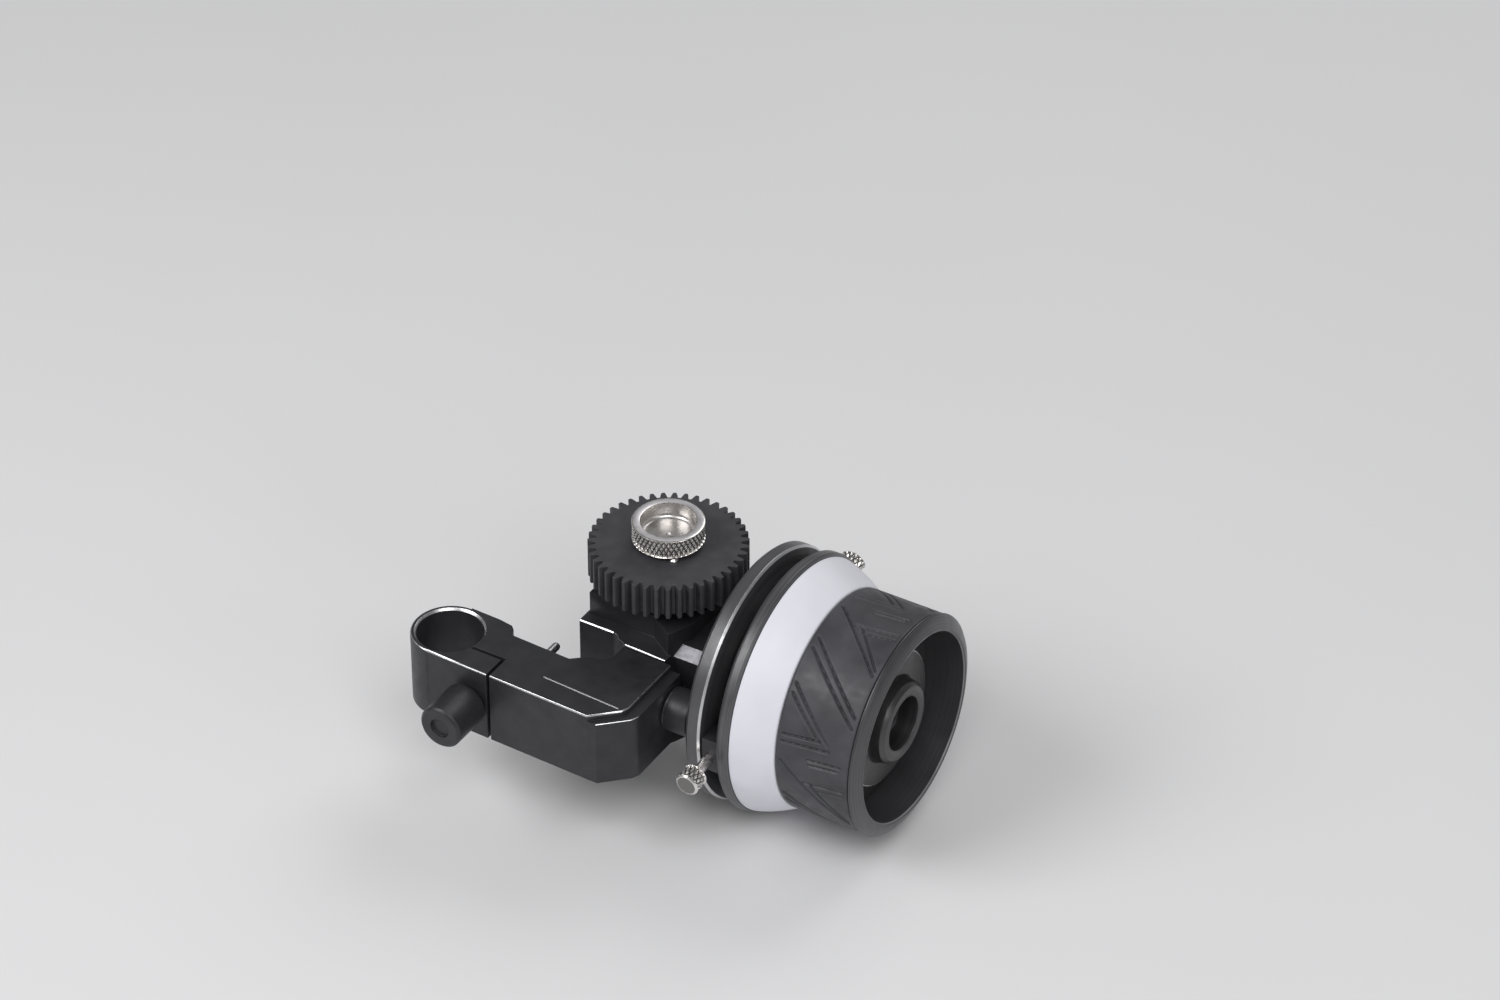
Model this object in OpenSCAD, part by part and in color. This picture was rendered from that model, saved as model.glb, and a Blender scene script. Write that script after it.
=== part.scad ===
// Follow focus unit that clamps on one upright support rod.
// Frame: origin in the middle of the rod bore, X outwards along the hand wheel,
// Y from the rod towards the gearbox, Z up along the rod. Millimetres.

/* [Rod clamp arm] */
// Diameter of the support rod
rod_d = 15; // [12:0.5:16]
// Thickness of the wall round the rod
bore_wall = 1.4; // [1.2:0.1:2.4]
// Height of the clamp arm
arm_h = 18; // [16:0.5:22]
// From the rod's axis to the end of the arm's top plate
arm_reach = 48.8; // [46:0.2:56]
// From the rod's axis to the back of the arm
arm_depth = 14.5; // [14:0.1:18]
// From the rod's axis to the front corner of the arm
front_y = 10.2; // [9.6:0.1:11]
// Thickness of the raised top plate
plate_t = 1.5; // [0.8:0.1:2]
// Width of the ledge that the arm's body shows beyond the top plate
ledge_w = 2.4; // [1.5:0.1:3.5]
// Width of the slit that lets the clamp close
slit_w = 0.8; // [0.5:0.1:1.2]

/* [Thumb screws] */
// Thread diameter of the clamp screw and the lock screw
stud_d = 4; // [3:0.5:4.5]
// Radius of the clamp knob
clamp_knob_r = 5.2; // [4.5:0.1:6.5]
// Length of the clamp knob
clamp_knob_len = 12; // [8:0.5:16]
// Radius of the lock knob
lock_knob_r = 5.1; // [4.5:0.1:5.8]
// Length of the lock knob
lock_knob_len = 6.4; // [5:0.2:9]

/* [Slide between arm and gearbox] */
// Width of the slide tongue
tongue_w = 8; // [6:0.2:9]
// Height of the slide tongue
tongue_h = 8; // [6:0.2:9]
// Length of tongue inside the arm
tongue_len = 20.5; // [18:0.5:21]

/* [Gearbox] */
// Width of the gearbox body across the wheel's axis
gearbox_w = 36.6; // [34:0.2:42]
// Height of the gearbox body under the ledge
gearbox_h = 19; // [17:0.5:21]
// Height of the raised middle of the gearbox
tower_h = 31; // [29:0.5:36]
// Width of the raised middle of the gearbox
tower_w = 25; // [25:0.5:28]
// Height of the neck that carries the index flange
neck_h = 22.5; // [21:0.5:25]
// Radius of the inside of the gearbox
cavity_r = 9.4; // [9.2:0.1:9.6]

/* [Drive gear] */
// Size of the teeth that mesh with a lens gear ring
gear_module = 0.8; // [0.6:0.1:1]
// Number of teeth of the drive gear
gear_teeth = 43; // [36:1:50]
// Thickness of the drive gear
gear_t = 8; // [6:0.5:10]
// Radius of the gear's thumb knob
cup_r = 8.2; // [7.4:0.2:9]
// Height of the gear's thumb knob
cup_h = 4.6; // [4:0.1:7]

/* [Hand wheel] */
// Radius of the index flange
flange_r = 30; // [28:0.5:33]
// Thickness of the index flange
flange_t = 3.8; // [3.2:0.1:5]
// Width of the gap that the hard stops run in
stop_gap = 4.4; // [3.2:0.1:5]
// Radius of the wheel's rim
rim_r = 30.5; // [29:0.5:34]
// Thickness of the wheel's rim
rim_t = 3; // [2.6:0.1:4]
// Width of the marking ring
ring_w = 9.4; // [6:0.2:12]
// Radius of the marking ring at the rim
ring_r = 29.8; // [28.6:0.2:31]
// Length of the rubber grip
grip_len = 18.3; // [14:0.5:24]
// Radius of the rubber grip
grip_r = 25.8; // [25.6:0.1:27]
// Thickness of the rubber grip
grip_t = 1.6; // [1.2:0.1:2]
// Radius of the end cap
cap_r = 26; // [25.6:0.1:28]
// How far the end cap's lip stands out of the grip
cap_t = 2; // [1.6:0.1:4]
// Radius of the end cap's mouth
mouth_r = 22.3; // [21:0.1:22.4]
// Depth of the grooves in the grip
tread_depth = 0.6; // [0.3:0.1:0.8]

/* [Hard stops] */
// Place of the first hard stop, counted from the gearbox side over the top
stop_a_at = 185; // [170:1:200]
// Place of the second hard stop
stop_b_at = 17; // [0:1:30]
// How far the first stop's screw is unscrewed
stop_a_out = 4.2; // [0:0.1:5]
// How far the second stop's screw is unscrewed
stop_b_out = 0.4; // [0:0.1:5]
// Length of a stop screw's head
stop_head_len = 4.2; // [3:0.2:7]
// Radius of a stop screw's head
stop_head_r = 2.3; // [2:0.1:3]

/* [Hidden] */
$fn = 96;

// Clearances
rod_play = 0.05;    // rod in the open clamp
thread_play = 0.05; // studs in their tapped holes
run_play = 0.03;    // shafts in their bearings
seat_play = 0.02;   // pieces that are fixed in each other
slide_play = 0.1;   // slide tongue in its channel
face_gap = 0.2;     // faces of pieces that move past each other
block_play = 0.25;  // stop blocks in the gap between flange and rim
cut = 1;            // how far a cut runs past a face

// Clamp arm
top_z = arm_h / 2;
bore_r = rod_d / 2 + rod_play;
nose_r = bore_r + bore_wall;
body_reach = arm_reach + ledge_w;
edge = 0.35;                        // polished chamfer along the plate
bore_edge = 0.6;                    // chamfer at the mouths of the rod bore
corner_x = 6.5;                     // how far the front corner is cut back
corner_y = front_y - 4.8;           // depth of that corner
corner_turn = 0.8;                  // last short facet before the arm's end
heel_x = 11;                        // where the thick wall behind the rod ends
waist_y = 5.1;                      // back of the arm between rod and gearbox
slot_x = arm_reach - 12.6;          // round end of the open slot behind the arm
slot_end_r = 2.8;
hump_y = arm_depth - 6.5;           // back of the arm beside the slot
slit_y = -2.8;
slit_x = 16.4;
clamp_x = bore_r + stud_d / 2 + 1.35;
stud_r = stud_d / 2;
stud_reach = waist_y - 1.2;         // how far the clamp screw passes the rod's plane
channel_x = arm_reach - 6.6;        // middle of the slide channel
lock_y = arm_depth - 4;
lock_z = 1;
pin_x = 22.5;
pin_r = 1;
pin_z = top_z - 1.3;
pin_out = 4.2;                      // how far the limit pin stands out behind the arm
panel_line_w = 0.35;
panel_line_from = [26.9, -3.6];
panel_line_to = [arm_reach - 1.9, -4.6];

// Gearbox
axis_y = arm_depth + face_gap + gearbox_w / 2;  // hand wheel's axis
gear_x = arm_reach - 12;                        // drive gear's axis
front_face = arm_depth + face_gap;
shoulder = 2.6;                                 // the front is set back beside the slot
neck_from = arm_reach - 1.8;
neck_front = front_face + 2.8;
neck_bevel = 2.4;
tower_corner = 5;                               // cut corner between tower and neck
flange_x = body_reach + face_gap + lock_knob_len + 1.2;
neck_to = flange_x - seat_play;
body_left = gear_x - 13.8;
tower_left = gear_x - 13;
tower_top = tower_h / 2;
pocket_len = 5;                                 // tongue inside the gearbox
tongue_screw_r = 1.25;
tongue_head_r = 1.9;
tongue_head_t = 1.8;
tongue_screw_x = [channel_x - 2.3, channel_x + 2.3];

// Bevel gears, 1:1, meeting at 45 degrees
bevel_teeth = 16;
bevel_r = 7.2;
bevel_face = 2.8;
bevel_add = 0.6;
bevel_ded = 0.95;
bevel_bore = 3;

// Shafts and bearings
drive_shaft_r = bevel_bore;
drive_bearing_r = 6.5;
drive_bearing_w = 5;
bearing_sink = 0.5;                             // drive bearings in their covers
end_play = 0.15;                                // pieces between the bearings
wheel_shaft_r = 4;
wheel_bearing_r = 8;
wheel_bearing_w = 5;
bearing_a_x = neck_from + 0.6;
bearing_b_x = neck_to - wheel_bearing_w - 0.2;
cover_r = 12.4;
cover_t = 2;
cover_plug = 5.5;
cover_screw_at = 10.9;
cover_screw_r = 0.9;
cover_screw_len = 5;
cover_head_r = 1.55;
collar_r = 5.2;
collar_w = 4.3;
hub_disc_r = 9.2;
hub_disc_t = 0.9;
gear_z = tower_top + cover_t + 1.2;             // underside of the drive gear
gear_top = gear_z + gear_t;
gear_bore = 4;
gear_pin_r = 1;
gear_pin_at = 7.4;
gear_pin_angle = -49;
cup_lift = 1.2;
cup_wall = 2.3;
cup_floor = 0.8;
cup_bowl = 2.4;                                 // round between the cup's wall and floor

// Hand wheel, along X
gap_x = flange_x + flange_t;
rim_x = gap_x + stop_gap;
ring_x = rim_x + rim_t;
grip_x = ring_x + ring_w + face_gap;
cap_x = grip_x + grip_len + face_gap;
cap_end = cap_x + cap_t;
hub_r = 21;                                     // floor of the hard stop gap
drum_r = grip_r - grip_t - seat_play;
drum_wall = 1;
cup_wall_r = drum_r - drum_wall - 0.05;
boss_end = cap_x - 10;                          // where the hub's middle boss ends
hub_end = ring_x + seat_play;                   // where its thick part ends
web_end = ring_x + 3.3;                         // where the sleeve's web ends
hub_boss_r = 9;
cap_floor = boss_end + 2;
cap_step_h = 5.6;
cap_step = boss_end + cap_step_h;               // step inside the mouth
cap_step_r = 16;
cap_boss_r = 10;
cap_boss_end = cap_x - 0.4;
cap_recess_r = 6.4;
hub_screw_r = 2;
hub_screw_len = 8;
hub_seat = boss_end + 3;                        // what the hub screw's head sits on
hub_head_r = 3.6;
hub_head_t = 3;
track_r = [24, 26.5];                           // groove that guides the stops
track_depth = 1.5;
stop_r = [hub_r + 0.3, min(flange_r, rim_r) - 0.6];
stop_span = 18;                                 // degrees that a stop block covers
stop_pin_at = (stop_a_at + stop_b_at + 360) / 2;
stop_pin_r = 25;                                // its distance from the wheel's axis
stop_shank_r = 0.9;
stop_screw_x = (gap_x + 0.5 + rim_x - block_play) / 2;
stop_head_from = max(flange_r, rim_r) + 0.3;    // underside of a stop screw's head when screwed in

// Frames of reference -------------------------------------------------------

// local Z runs along the hand wheel's axis, from the rod's plane outwards
module on_wheel() { translate([0, axis_y, 0]) rotate([0, 90, 0]) children(); }
// in that frame, turns local X to a clock angle: 0 away from the rod, 90 up
module at_clock(a) { rotate([0, 0, a + 90]) children(); }
module on_gear() { translate([gear_x, axis_y, 0]) children(); }
module on_clamp() { translate([clamp_x, -front_edge_y(clamp_x), 0]) rotate([90, 0, 0]) children(); }
module on_lock() { translate([body_reach, lock_y, lock_z]) rotate([0, 90, 0]) children(); }

function front_edge_y(x) = nose_r + (front_y - nose_r) * x / (arm_reach - corner_x);
function arc(c, r, from, to, n) =
    [for (i = [0 : n]) c + r * [cos(from + (to - from) * i / n), sin(from + (to - from) * i / n)]];
function mirrored(points) = [for (i = [len(points) - 1 : -1 : 0]) [points[i][0], 2 * axis_y - points[i][1]]];

// turned piece: points are [radius, place along the axis]
module turned(points) { rotate_extrude() polygon(points); }
module ring(inner, outer, from, to) {
    turned([[inner, from], [outer, from], [outer, to], [inner, to]]);
}
module rod(r, from, to) { translate([0, 0, from]) cylinder(r = r, h = to - from); }

// Clamp arm -----------------------------------------------------------------

// plan of the arm; extra lengthens it past the top plate
function arm_outline(extra) = let (reach = arm_reach + extra) concat(
    [[0, -nose_r], [arm_reach - corner_x, -front_y], [reach - corner_x + 0.01, -front_y],
     [reach - corner_turn, -front_y + corner_y], [reach, -front_y + corner_y + 1.8],
     [reach, arm_depth], [slot_x, arm_depth]],
    arc([slot_x - slot_end_r, hump_y + slot_end_r], slot_end_r, 0, -90, 6),
    [[slot_x - 5, hump_y - 0.6], [slot_x - 8, waist_y - 0.2], [heel_x + 2, waist_y + 0.4],
     [heel_x + 1, hump_y - 0.6], [heel_x, hump_y + 0.3], [nose_r - 1, nose_r - 0.2], [0, nose_r]]);

module arm_layer(extra, from, to) {
    translate([0, 0, from]) linear_extrude(to - from) union() {
        circle(nose_r);
        polygon(arm_outline(extra));
    }
}

// takes a 45 degree chamfer off the top edge that runs from a to b, with the solid on its left
module edge_cut(a, b, z, size) {
    d = b - a;
    translate([a[0], a[1], z]) rotate([0, 0, atan2(d[1], d[0])]) rotate([45, 0, 0])
        translate([-size, -2 * size, -size / sqrt(2)]) cube([norm(d) + 2 * size, 4 * size, 3 * size]);
}

module clamp_arm() color([0.09, 0.09, 0.10]) difference() {
    union() {
        arm_layer(ledge_w, -top_z, top_z - plate_t);
        arm_layer(0, top_z - plate_t - 0.2, top_z);
    }
    rod(bore_r, -top_z - cut, top_z + cut);
    for (s = [-1, 1]) scale([1, 1, s]) translate([0, 0, top_z - bore_edge])
        cylinder(r1 = bore_r, r2 = bore_r + bore_edge + 0.1, h = bore_edge + 0.1);
    for (i = [0, 2, 3, 4]) edge_cut(arm_outline(0)[i], arm_outline(0)[i + 1], top_z, edge);
    // the nose's top edge
    intersection() {
        turned([[nose_r - edge, top_z + 0.01], [nose_r + cut, top_z + 0.01],
            [nose_r + cut, top_z - edge - cut]]);
        translate([-2 * nose_r, -2 * nose_r, 0]) cube([2 * nose_r, 4 * nose_r, top_z + cut]);
    }
    // L-shaped clamp slit
    translate([bore_r - 1, slit_y - slit_w / 2, -top_z - cut])
        cube([slit_x - bore_r + 1, slit_w, arm_h + 2 * cut]);
    translate([slit_x - slit_w, -front_y - cut, -top_z - cut])
        cube([slit_w, front_y + slit_y + slit_w / 2 + cut, arm_h + 2 * cut]);
    // clamp screw: free in the jaw, tapped behind the slit
    on_clamp() rod(stud_r + 0.2, -front_edge_y(clamp_x) - slit_y, cut);
    on_clamp() rod(stud_r + thread_play, -front_edge_y(clamp_x) - stud_reach - 0.5, 0);
    // channel for the gearbox's tongue
    translate([channel_x - tongue_w / 2 - slide_play, front_face - face_gap - tongue_len - 0.5,
        -tongue_h / 2 - slide_play])
        cube([tongue_w + 2 * slide_play, tongue_len + 0.5 + cut, tongue_h + 2 * slide_play]);
    // lock screw
    on_lock() rod(stud_r + thread_play, channel_x - body_reach, cut);
    // limit pin's hole
    translate([pin_x, waist_y + cut, pin_z]) rotate([90, 0, 0]) rod(pin_r + seat_play, 0, 5);
    // fine line across the plate
    d = panel_line_to - panel_line_from;
    translate([panel_line_from[0], panel_line_from[1], top_z - 0.3]) rotate([0, 0, atan2(d[1], d[0])])
        cube([norm(d), panel_line_w, cut]);
}

module limit_pin() color([0.75, 0.75, 0.76]) translate([pin_x, waist_y + pin_out, pin_z]) rotate([90, 0, 0])
    turned([[0, 0], [0.5, 0.15], [0.85, 0.5], [pin_r, pin_r], [pin_r, pin_out + 3], [0, pin_out + 3]]);

module lock_pad() color([0.72, 0.58, 0.30]) on_lock()
    rod(stud_r - 0.1, channel_x - body_reach + tongue_w / 2 + 0.15,
        channel_x - body_reach + tongue_w / 2 + 1.1);

// Thumb screws --------------------------------------------------------------

module clamp_knob() color([0.10, 0.10, 0.11]) on_clamp() difference() {
    turned([[0, 0.3], [clamp_knob_r - 1.4, 0.3], [clamp_knob_r - 1.4, 1.3], [clamp_knob_r - 0.5, 1.3],
            [clamp_knob_r, 1.8], [clamp_knob_r, clamp_knob_len - 0.6], [clamp_knob_r - 0.6, clamp_knob_len],
            [2.4, clamp_knob_len], [2.4, clamp_knob_len - 0.8], [0, clamp_knob_len - 0.8]]);
    rod(stud_r + seat_play, 0, 7);
}

module clamp_stud() color([0.62, 0.62, 0.64]) on_clamp()
    turned([[0, -front_edge_y(clamp_x) - stud_reach], [stud_r - 0.5, -front_edge_y(clamp_x) - stud_reach],
            [stud_r, -front_edge_y(clamp_x) - stud_reach + 0.5], [stud_r, 6.9], [0, 6.9]]);

module lock_knob() color([0.10, 0.10, 0.11]) on_lock() difference() {
    turned([[0, face_gap], [lock_knob_r - 0.5, face_gap], [lock_knob_r, face_gap + 0.5],
            [lock_knob_r, face_gap + lock_knob_len - 0.5], [lock_knob_r - 0.5, face_gap + lock_knob_len],
            [0, face_gap + lock_knob_len]]);
    rod(stud_r + seat_play, 0, 4);
}

module lock_stud() color([0.62, 0.62, 0.64]) on_lock()
    rod(stud_r, channel_x - body_reach + tongue_w / 2 + 1.3, 3.9);

// Gearbox -------------------------------------------------------------------

// front half of the plan of the gearbox's low body, left to right
function body_front() = concat(
    [[body_left, front_face + shoulder]],
    arc([slot_x - 4.6, front_face + shoulder - 3], 3, 90, 30, 4),
    arc([slot_x + 0.6, front_face + 1.2], 1.2, 210, 270, 3),
    [[neck_from, front_face], [neck_from + 0.2, neck_front]]);

// front half of the plan of the raised middle
function tower_front() =
    [[tower_left, axis_y - tower_w / 2], [gear_x + 3.8, axis_y - tower_w / 2],
     [neck_from - 0.3, neck_front - 1], [neck_from + 0.4, neck_front],
     [neck_from + 2.6, neck_front + tower_corner]];

module neck() {
    half = axis_y - neck_front;
    up = neck_h / 2;
    translate([neck_from - 1, axis_y, 0]) rotate([90, 0, 90]) linear_extrude(neck_to - neck_from + 1)
        polygon([[-half, -up + neck_bevel], [-half + neck_bevel, -up], [half - neck_bevel, -up],
                 [half, -up + neck_bevel], [half, up - neck_bevel], [half - neck_bevel, up],
                 [-half + neck_bevel, up], [-half, up - neck_bevel]]);
}

module gearbox_housing() color([0.08, 0.08, 0.09]) difference() {
    union() {
        translate([0, 0, -gearbox_h / 2]) linear_extrude(gearbox_h)
            polygon(concat(body_front(), mirrored(body_front())));
        translate([0, 0, -tower_top]) linear_extrude(tower_h)
            polygon(concat(tower_front(), mirrored(tower_front())));
        neck();
    }
    edge_cut([body_left, front_face + shoulder], [slot_x - 4.6, front_face + shoulder], gearbox_h / 2, edge);
    edge_cut([slot_x + 0.6, front_face], [neck_from, front_face], gearbox_h / 2, edge);
    // inside
    on_gear() rod(cavity_r, -tower_top - cut, tower_top + cut);
    on_wheel() rod(cavity_r - 0.6, gear_x, neck_from - 0.4);
    on_wheel() rod(wheel_bearing_r - 1.5, gear_x, bearing_a_x + cut);
    on_wheel() rod(wheel_bearing_r + seat_play, bearing_a_x, neck_to + cut);
    // pocket and screws of the slide tongue
    translate([channel_x - tongue_w / 2 - seat_play, front_face - cut, -tongue_h / 2 - seat_play])
        cube([tongue_w + 2 * seat_play, pocket_len + cut, tongue_h + 2 * seat_play]);
    for (x = tongue_screw_x) translate([x, front_face + pocket_len / 2, 0]) {
        rod(tongue_screw_r + 0.1, -gearbox_h / 2 - cut, 0);
        rod(tongue_head_r + 0.1, -gearbox_h / 2 - cut, -gearbox_h / 2 + tongue_head_t + 0.3);
    }
    // tapped holes for the covers and the flange
    on_gear() for (a = [45 : 90 : 315], s = [0, 1]) mirror([0, 0, s]) rotate([0, 0, a])
        translate([cover_screw_at, 0, 0])
            rod(cover_screw_r + seat_play, tower_top - cover_screw_len, tower_top + cut);
    on_wheel() flange_screw_places() rod(1.2 + seat_play, neck_to - 6, neck_to + cut);
}

module slide_tongue() color([0.12, 0.12, 0.13]) difference() {
    translate([channel_x - tongue_w / 2, front_face - face_gap - tongue_len, -tongue_h / 2])
        cube([tongue_w, tongue_len + face_gap + pocket_len - 0.1, tongue_h]);
    for (x = tongue_screw_x) translate([x, front_face + pocket_len / 2, 0])
        rod(tongue_screw_r + seat_play, -tongue_h / 2 - cut, 1);
}

module tongue_screws() color([0.35, 0.35, 0.37])
    for (x = tongue_screw_x) translate([x, front_face + pocket_len / 2, -gearbox_h / 2]) difference() {
        turned([[0, 0.2], [tongue_head_r - 0.2, 0.2], [tongue_head_r, 0.4],
            [tongue_head_r, tongue_head_t + 0.2],
                [tongue_screw_r, tongue_head_t + 0.2], [tongue_screw_r, gearbox_h / 2 + 0.8],
                [0, gearbox_h / 2 + 0.8]]);
        translate([0, 0, -cut]) cylinder(r = 1, h = 1 + cut + 0.2, $fn = 6);
    }

// plug that closes the tower and holds one bearing; the tower's face is its zero
module drive_cover() difference() {
    turned([[drive_bearing_r - 2, cover_t], [cover_r - 0.4, cover_t], [cover_r, cover_t - 0.4], [cover_r, 0],
            [cavity_r - seat_play, 0], [cavity_r - seat_play, -cover_plug],
            [drive_bearing_r + seat_play, -cover_plug],
            [drive_bearing_r + seat_play, bearing_sink], [drive_bearing_r - 2, bearing_sink]]);
    for (a = [45 : 90 : 315]) rotate([0, 0, a]) translate([cover_screw_at, 0, 0]) {
        rod(cover_screw_r + 0.05, -cut, cover_t + cut);
        translate([0, 0, cover_t - 1]) cylinder(r1 = cover_screw_r + 0.05, r2 = cover_head_r + 0.1, h = 1.02);
    }
}

module drive_cover_top() color([0.10, 0.10, 0.11]) on_gear() translate([0, 0, tower_top]) drive_cover();
module drive_cover_bottom() color([0.10, 0.10, 0.11]) on_gear() mirror([0, 0, 1])
    translate([0, 0, tower_top]) drive_cover();

module cover_screws() color([0.35, 0.35, 0.37]) on_gear()
    for (a = [45 : 90 : 315], s = [0, 1]) mirror([0, 0, s]) rotate([0, 0, a])
        translate([cover_screw_at, 0, tower_top + cover_t - 1])
            turned([[0, -cover_screw_len], [cover_screw_r, -cover_screw_len], [cover_screw_r, 0],
                    [cover_head_r, 0.95], [0, 0.95]]);

module bearing(inner, outer, width) {
    shield = 0.3;
    turned([[inner + run_play, 0], [inner + 1, 0], [inner + 1, shield], [outer - 1, shield], [outer - 1, 0],
            [outer, 0], [outer, width], [outer - 1, width], [outer - 1, width - shield],
            [inner + 1, width - shield], [inner + 1, width], [inner + run_play, width]]);
}

module drive_bearing_top() color([0.70, 0.70, 0.72]) on_gear()
    translate([0, 0, tower_top + bearing_sink - drive_bearing_w])
        bearing(drive_shaft_r, drive_bearing_r, drive_bearing_w);
module drive_bearing_bottom() color([0.70, 0.70, 0.72]) on_gear()
    translate([0, 0, -tower_top - bearing_sink]) bearing(drive_shaft_r, drive_bearing_r, drive_bearing_w);
module wheel_bearing_inner() color([0.70, 0.70, 0.72]) on_wheel()
    translate([0, 0, bearing_a_x]) bearing(wheel_shaft_r, wheel_bearing_r, wheel_bearing_w);
module wheel_bearing_outer() color([0.70, 0.70, 0.72]) on_wheel()
    translate([0, 0, bearing_b_x]) bearing(wheel_shaft_r, wheel_bearing_r, wheel_bearing_w);

module flange_screw_places() for (a = [30, 150, 210, 330]) at_clock(a) translate([11.6, 0, 0]) children();

module index_flange() color([0.09, 0.09, 0.10]) on_wheel() difference() {
    turned([[5.5, flange_x], [flange_r - 0.8, flange_x], [flange_r, flange_x + 0.8], [flange_r, gap_x - 0.4],
            [flange_r - 0.4, gap_x], [5.5, gap_x]]);
    flange_screw_places() {
        rod(1.25, flange_x - cut, gap_x + cut);
        translate([0, 0, gap_x - 1.6]) cylinder(r1 = 1.25, r2 = 2.5, h = 1.62);
    }
    at_clock(stop_pin_at) translate([stop_pin_r, 0, 0]) rod(1.5 + seat_play, flange_x + 1.2, gap_x + cut);
}

module flange_screws() color([0.35, 0.35, 0.37]) on_wheel() flange_screw_places()
    turned([[0, neck_to - 5], [1.2, neck_to - 5], [1.2, gap_x - 1.6], [2.35, gap_x - 0.15],
        [0, gap_x - 0.15]]);

module stop_pin() color([0.70, 0.70, 0.72]) on_wheel() at_clock(stop_pin_at) translate([stop_pin_r, 0, 0])
    rod(1.5, flange_x + 1.3, rim_x - 0.6);

// Hand wheel ----------------------------------------------------------------

module wheel_shaft() color([0.70, 0.70, 0.72]) on_wheel() difference() {
    turned([[0, gear_x + bevel_r - bevel_face - 0.1], [bevel_bore, gear_x + bevel_r - bevel_face - 0.1],
            [bevel_bore, bearing_a_x - 0.3], [wheel_shaft_r, bearing_a_x - 0.3],
            [wheel_shaft_r, boss_end - 0.2],
            [0, boss_end - 0.2]]);
    rod(hub_screw_r + seat_play, boss_end - hub_screw_len - 1, boss_end + cut);
}

// one bevel gear; its apex is the origin and its axis Z, a tooth stands at angle 0
module bevel_gear(hub) {
    pitch = 360 / bevel_teeth;
    root = bevel_r - bevel_ded;
    tip = bevel_r + bevel_add;
    outline = [for (i = [0 : bevel_teeth - 1], p = [[root, -7.6], [tip, -2.3], [tip, 2.3], [root, 7.6]])
        p[0] * [cos(i * pitch + p[1]), sin(i * pitch + p[1])]];
    difference() {
        union() {
            translate([0, 0, bevel_r]) mirror([0, 0, 1])
                linear_extrude(height = bevel_face, scale = (bevel_r - bevel_face) / bevel_r)
                    polygon(outline);
            rod(root - 0.3, bevel_r - 0.3, bevel_r + hub);
        }
        rod(bevel_bore + seat_play, 0, bevel_r + hub + cut);
    }
}

module wheel_bevel() color([0.66, 0.60, 0.42]) translate([gear_x, axis_y, 0]) rotate([0, 90, 0])
    bevel_gear(bearing_a_x - 0.3 - gear_x - bevel_r);

module wheel_hub() color([0.09, 0.09, 0.10]) on_wheel()
    turned([[wheel_shaft_r + seat_play, gap_x + 0.3], [hub_r, gap_x + 0.3], [hub_r, hub_end],
            [hub_boss_r, hub_end], [hub_boss_r, boss_end], [wheel_shaft_r + seat_play, boss_end]]);

module index_rim() color([0.09, 0.09, 0.10]) on_wheel()
    turned([[hub_r + seat_play, rim_x], [track_r[0], rim_x], [track_r[0], rim_x + track_depth],
            [track_r[1], rim_x + track_depth], [track_r[1], rim_x], [rim_r - 0.7, rim_x],
            [rim_r, rim_x + 0.7],
            [rim_r, ring_x - 0.5], [rim_r - 0.5, ring_x], [hub_r + seat_play, ring_x]]);

module grip_sleeve() color([0.09, 0.09, 0.10]) on_wheel()
    turned([[hub_boss_r + seat_play, hub_end], [drum_r, hub_end], [drum_r, cap_x - 0.1],
            [drum_r - drum_wall, cap_x - 0.1], [drum_r - drum_wall, web_end],
            [hub_boss_r + seat_play, web_end]]);

module marking_ring() color([0.93, 0.93, 0.95]) on_wheel() {
    foot = grip_r + 0.1;
    turned(concat([[drum_r + seat_play, hub_end + seat_play]],
                  [for (i = [0 : 8]) let (k = i / 8)
                      [foot + (ring_r - foot) * (1 - pow(k, 1.35)),
                       hub_end + seat_play + k * (ring_w - 2 * seat_play)]],
                  [[drum_r + seat_play, ring_x + ring_w]]));
}

// grooves of one of the tread's repeats, from clock angle and fraction of the width to the same
tread = [[88, 0.07, 121, 0.92], [97, 0.46, 118, 0.92], [97.6, 0.38, 95, 0.92], [100.6, 0.52, 98.4, 0.92],
         [111.5, 0.07, 143.5, 0.92], [117.5, 0.07, 149, 0.92], [137, 0.07, 161.2, 0.67],
         [142.2, 0.07, 160, 0.51], [163.2, 0.07, 160.6, 0.57], [167.2, 0.07, 164.4, 0.7],
         [172.6, 0.44, 170.6, 0.87], [175.4, 0.46, 173.2, 0.85]];
tread_repeats = 4;
tread_w = 0.7;

// a groove round part of the grip, as short straight cuts
module tread_groove(from, along_from, to, along_to) {
    n = ceil(abs(to - from) / 11);
    across = (to - from) / n * PI / 180 * grip_r;
    along = (along_to - along_from) / n * grip_len;
    for (i = [0 : n - 1]) let (k = (i + 0.5) / n) at_clock(from + k * (to - from))
        translate([grip_r, 0, grip_x + (along_from + k * (along_to - along_from)) * grip_len])
            rotate([atan2(-across, along), 0, 0])
                cube([2 * tread_depth, tread_w, norm([across, along]) + 0.3], center = true);
}

module rubber_grip() color([0.13, 0.13, 0.14]) on_wheel() difference() {
    ring(drum_r + seat_play, grip_r, grip_x, grip_x + grip_len);
    for (i = [0 : tread_repeats - 1], g = tread) rotate([0, 0, i * 360 / tread_repeats])
        tread_groove(g[0], g[1], g[2], g[3]);
}

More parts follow.
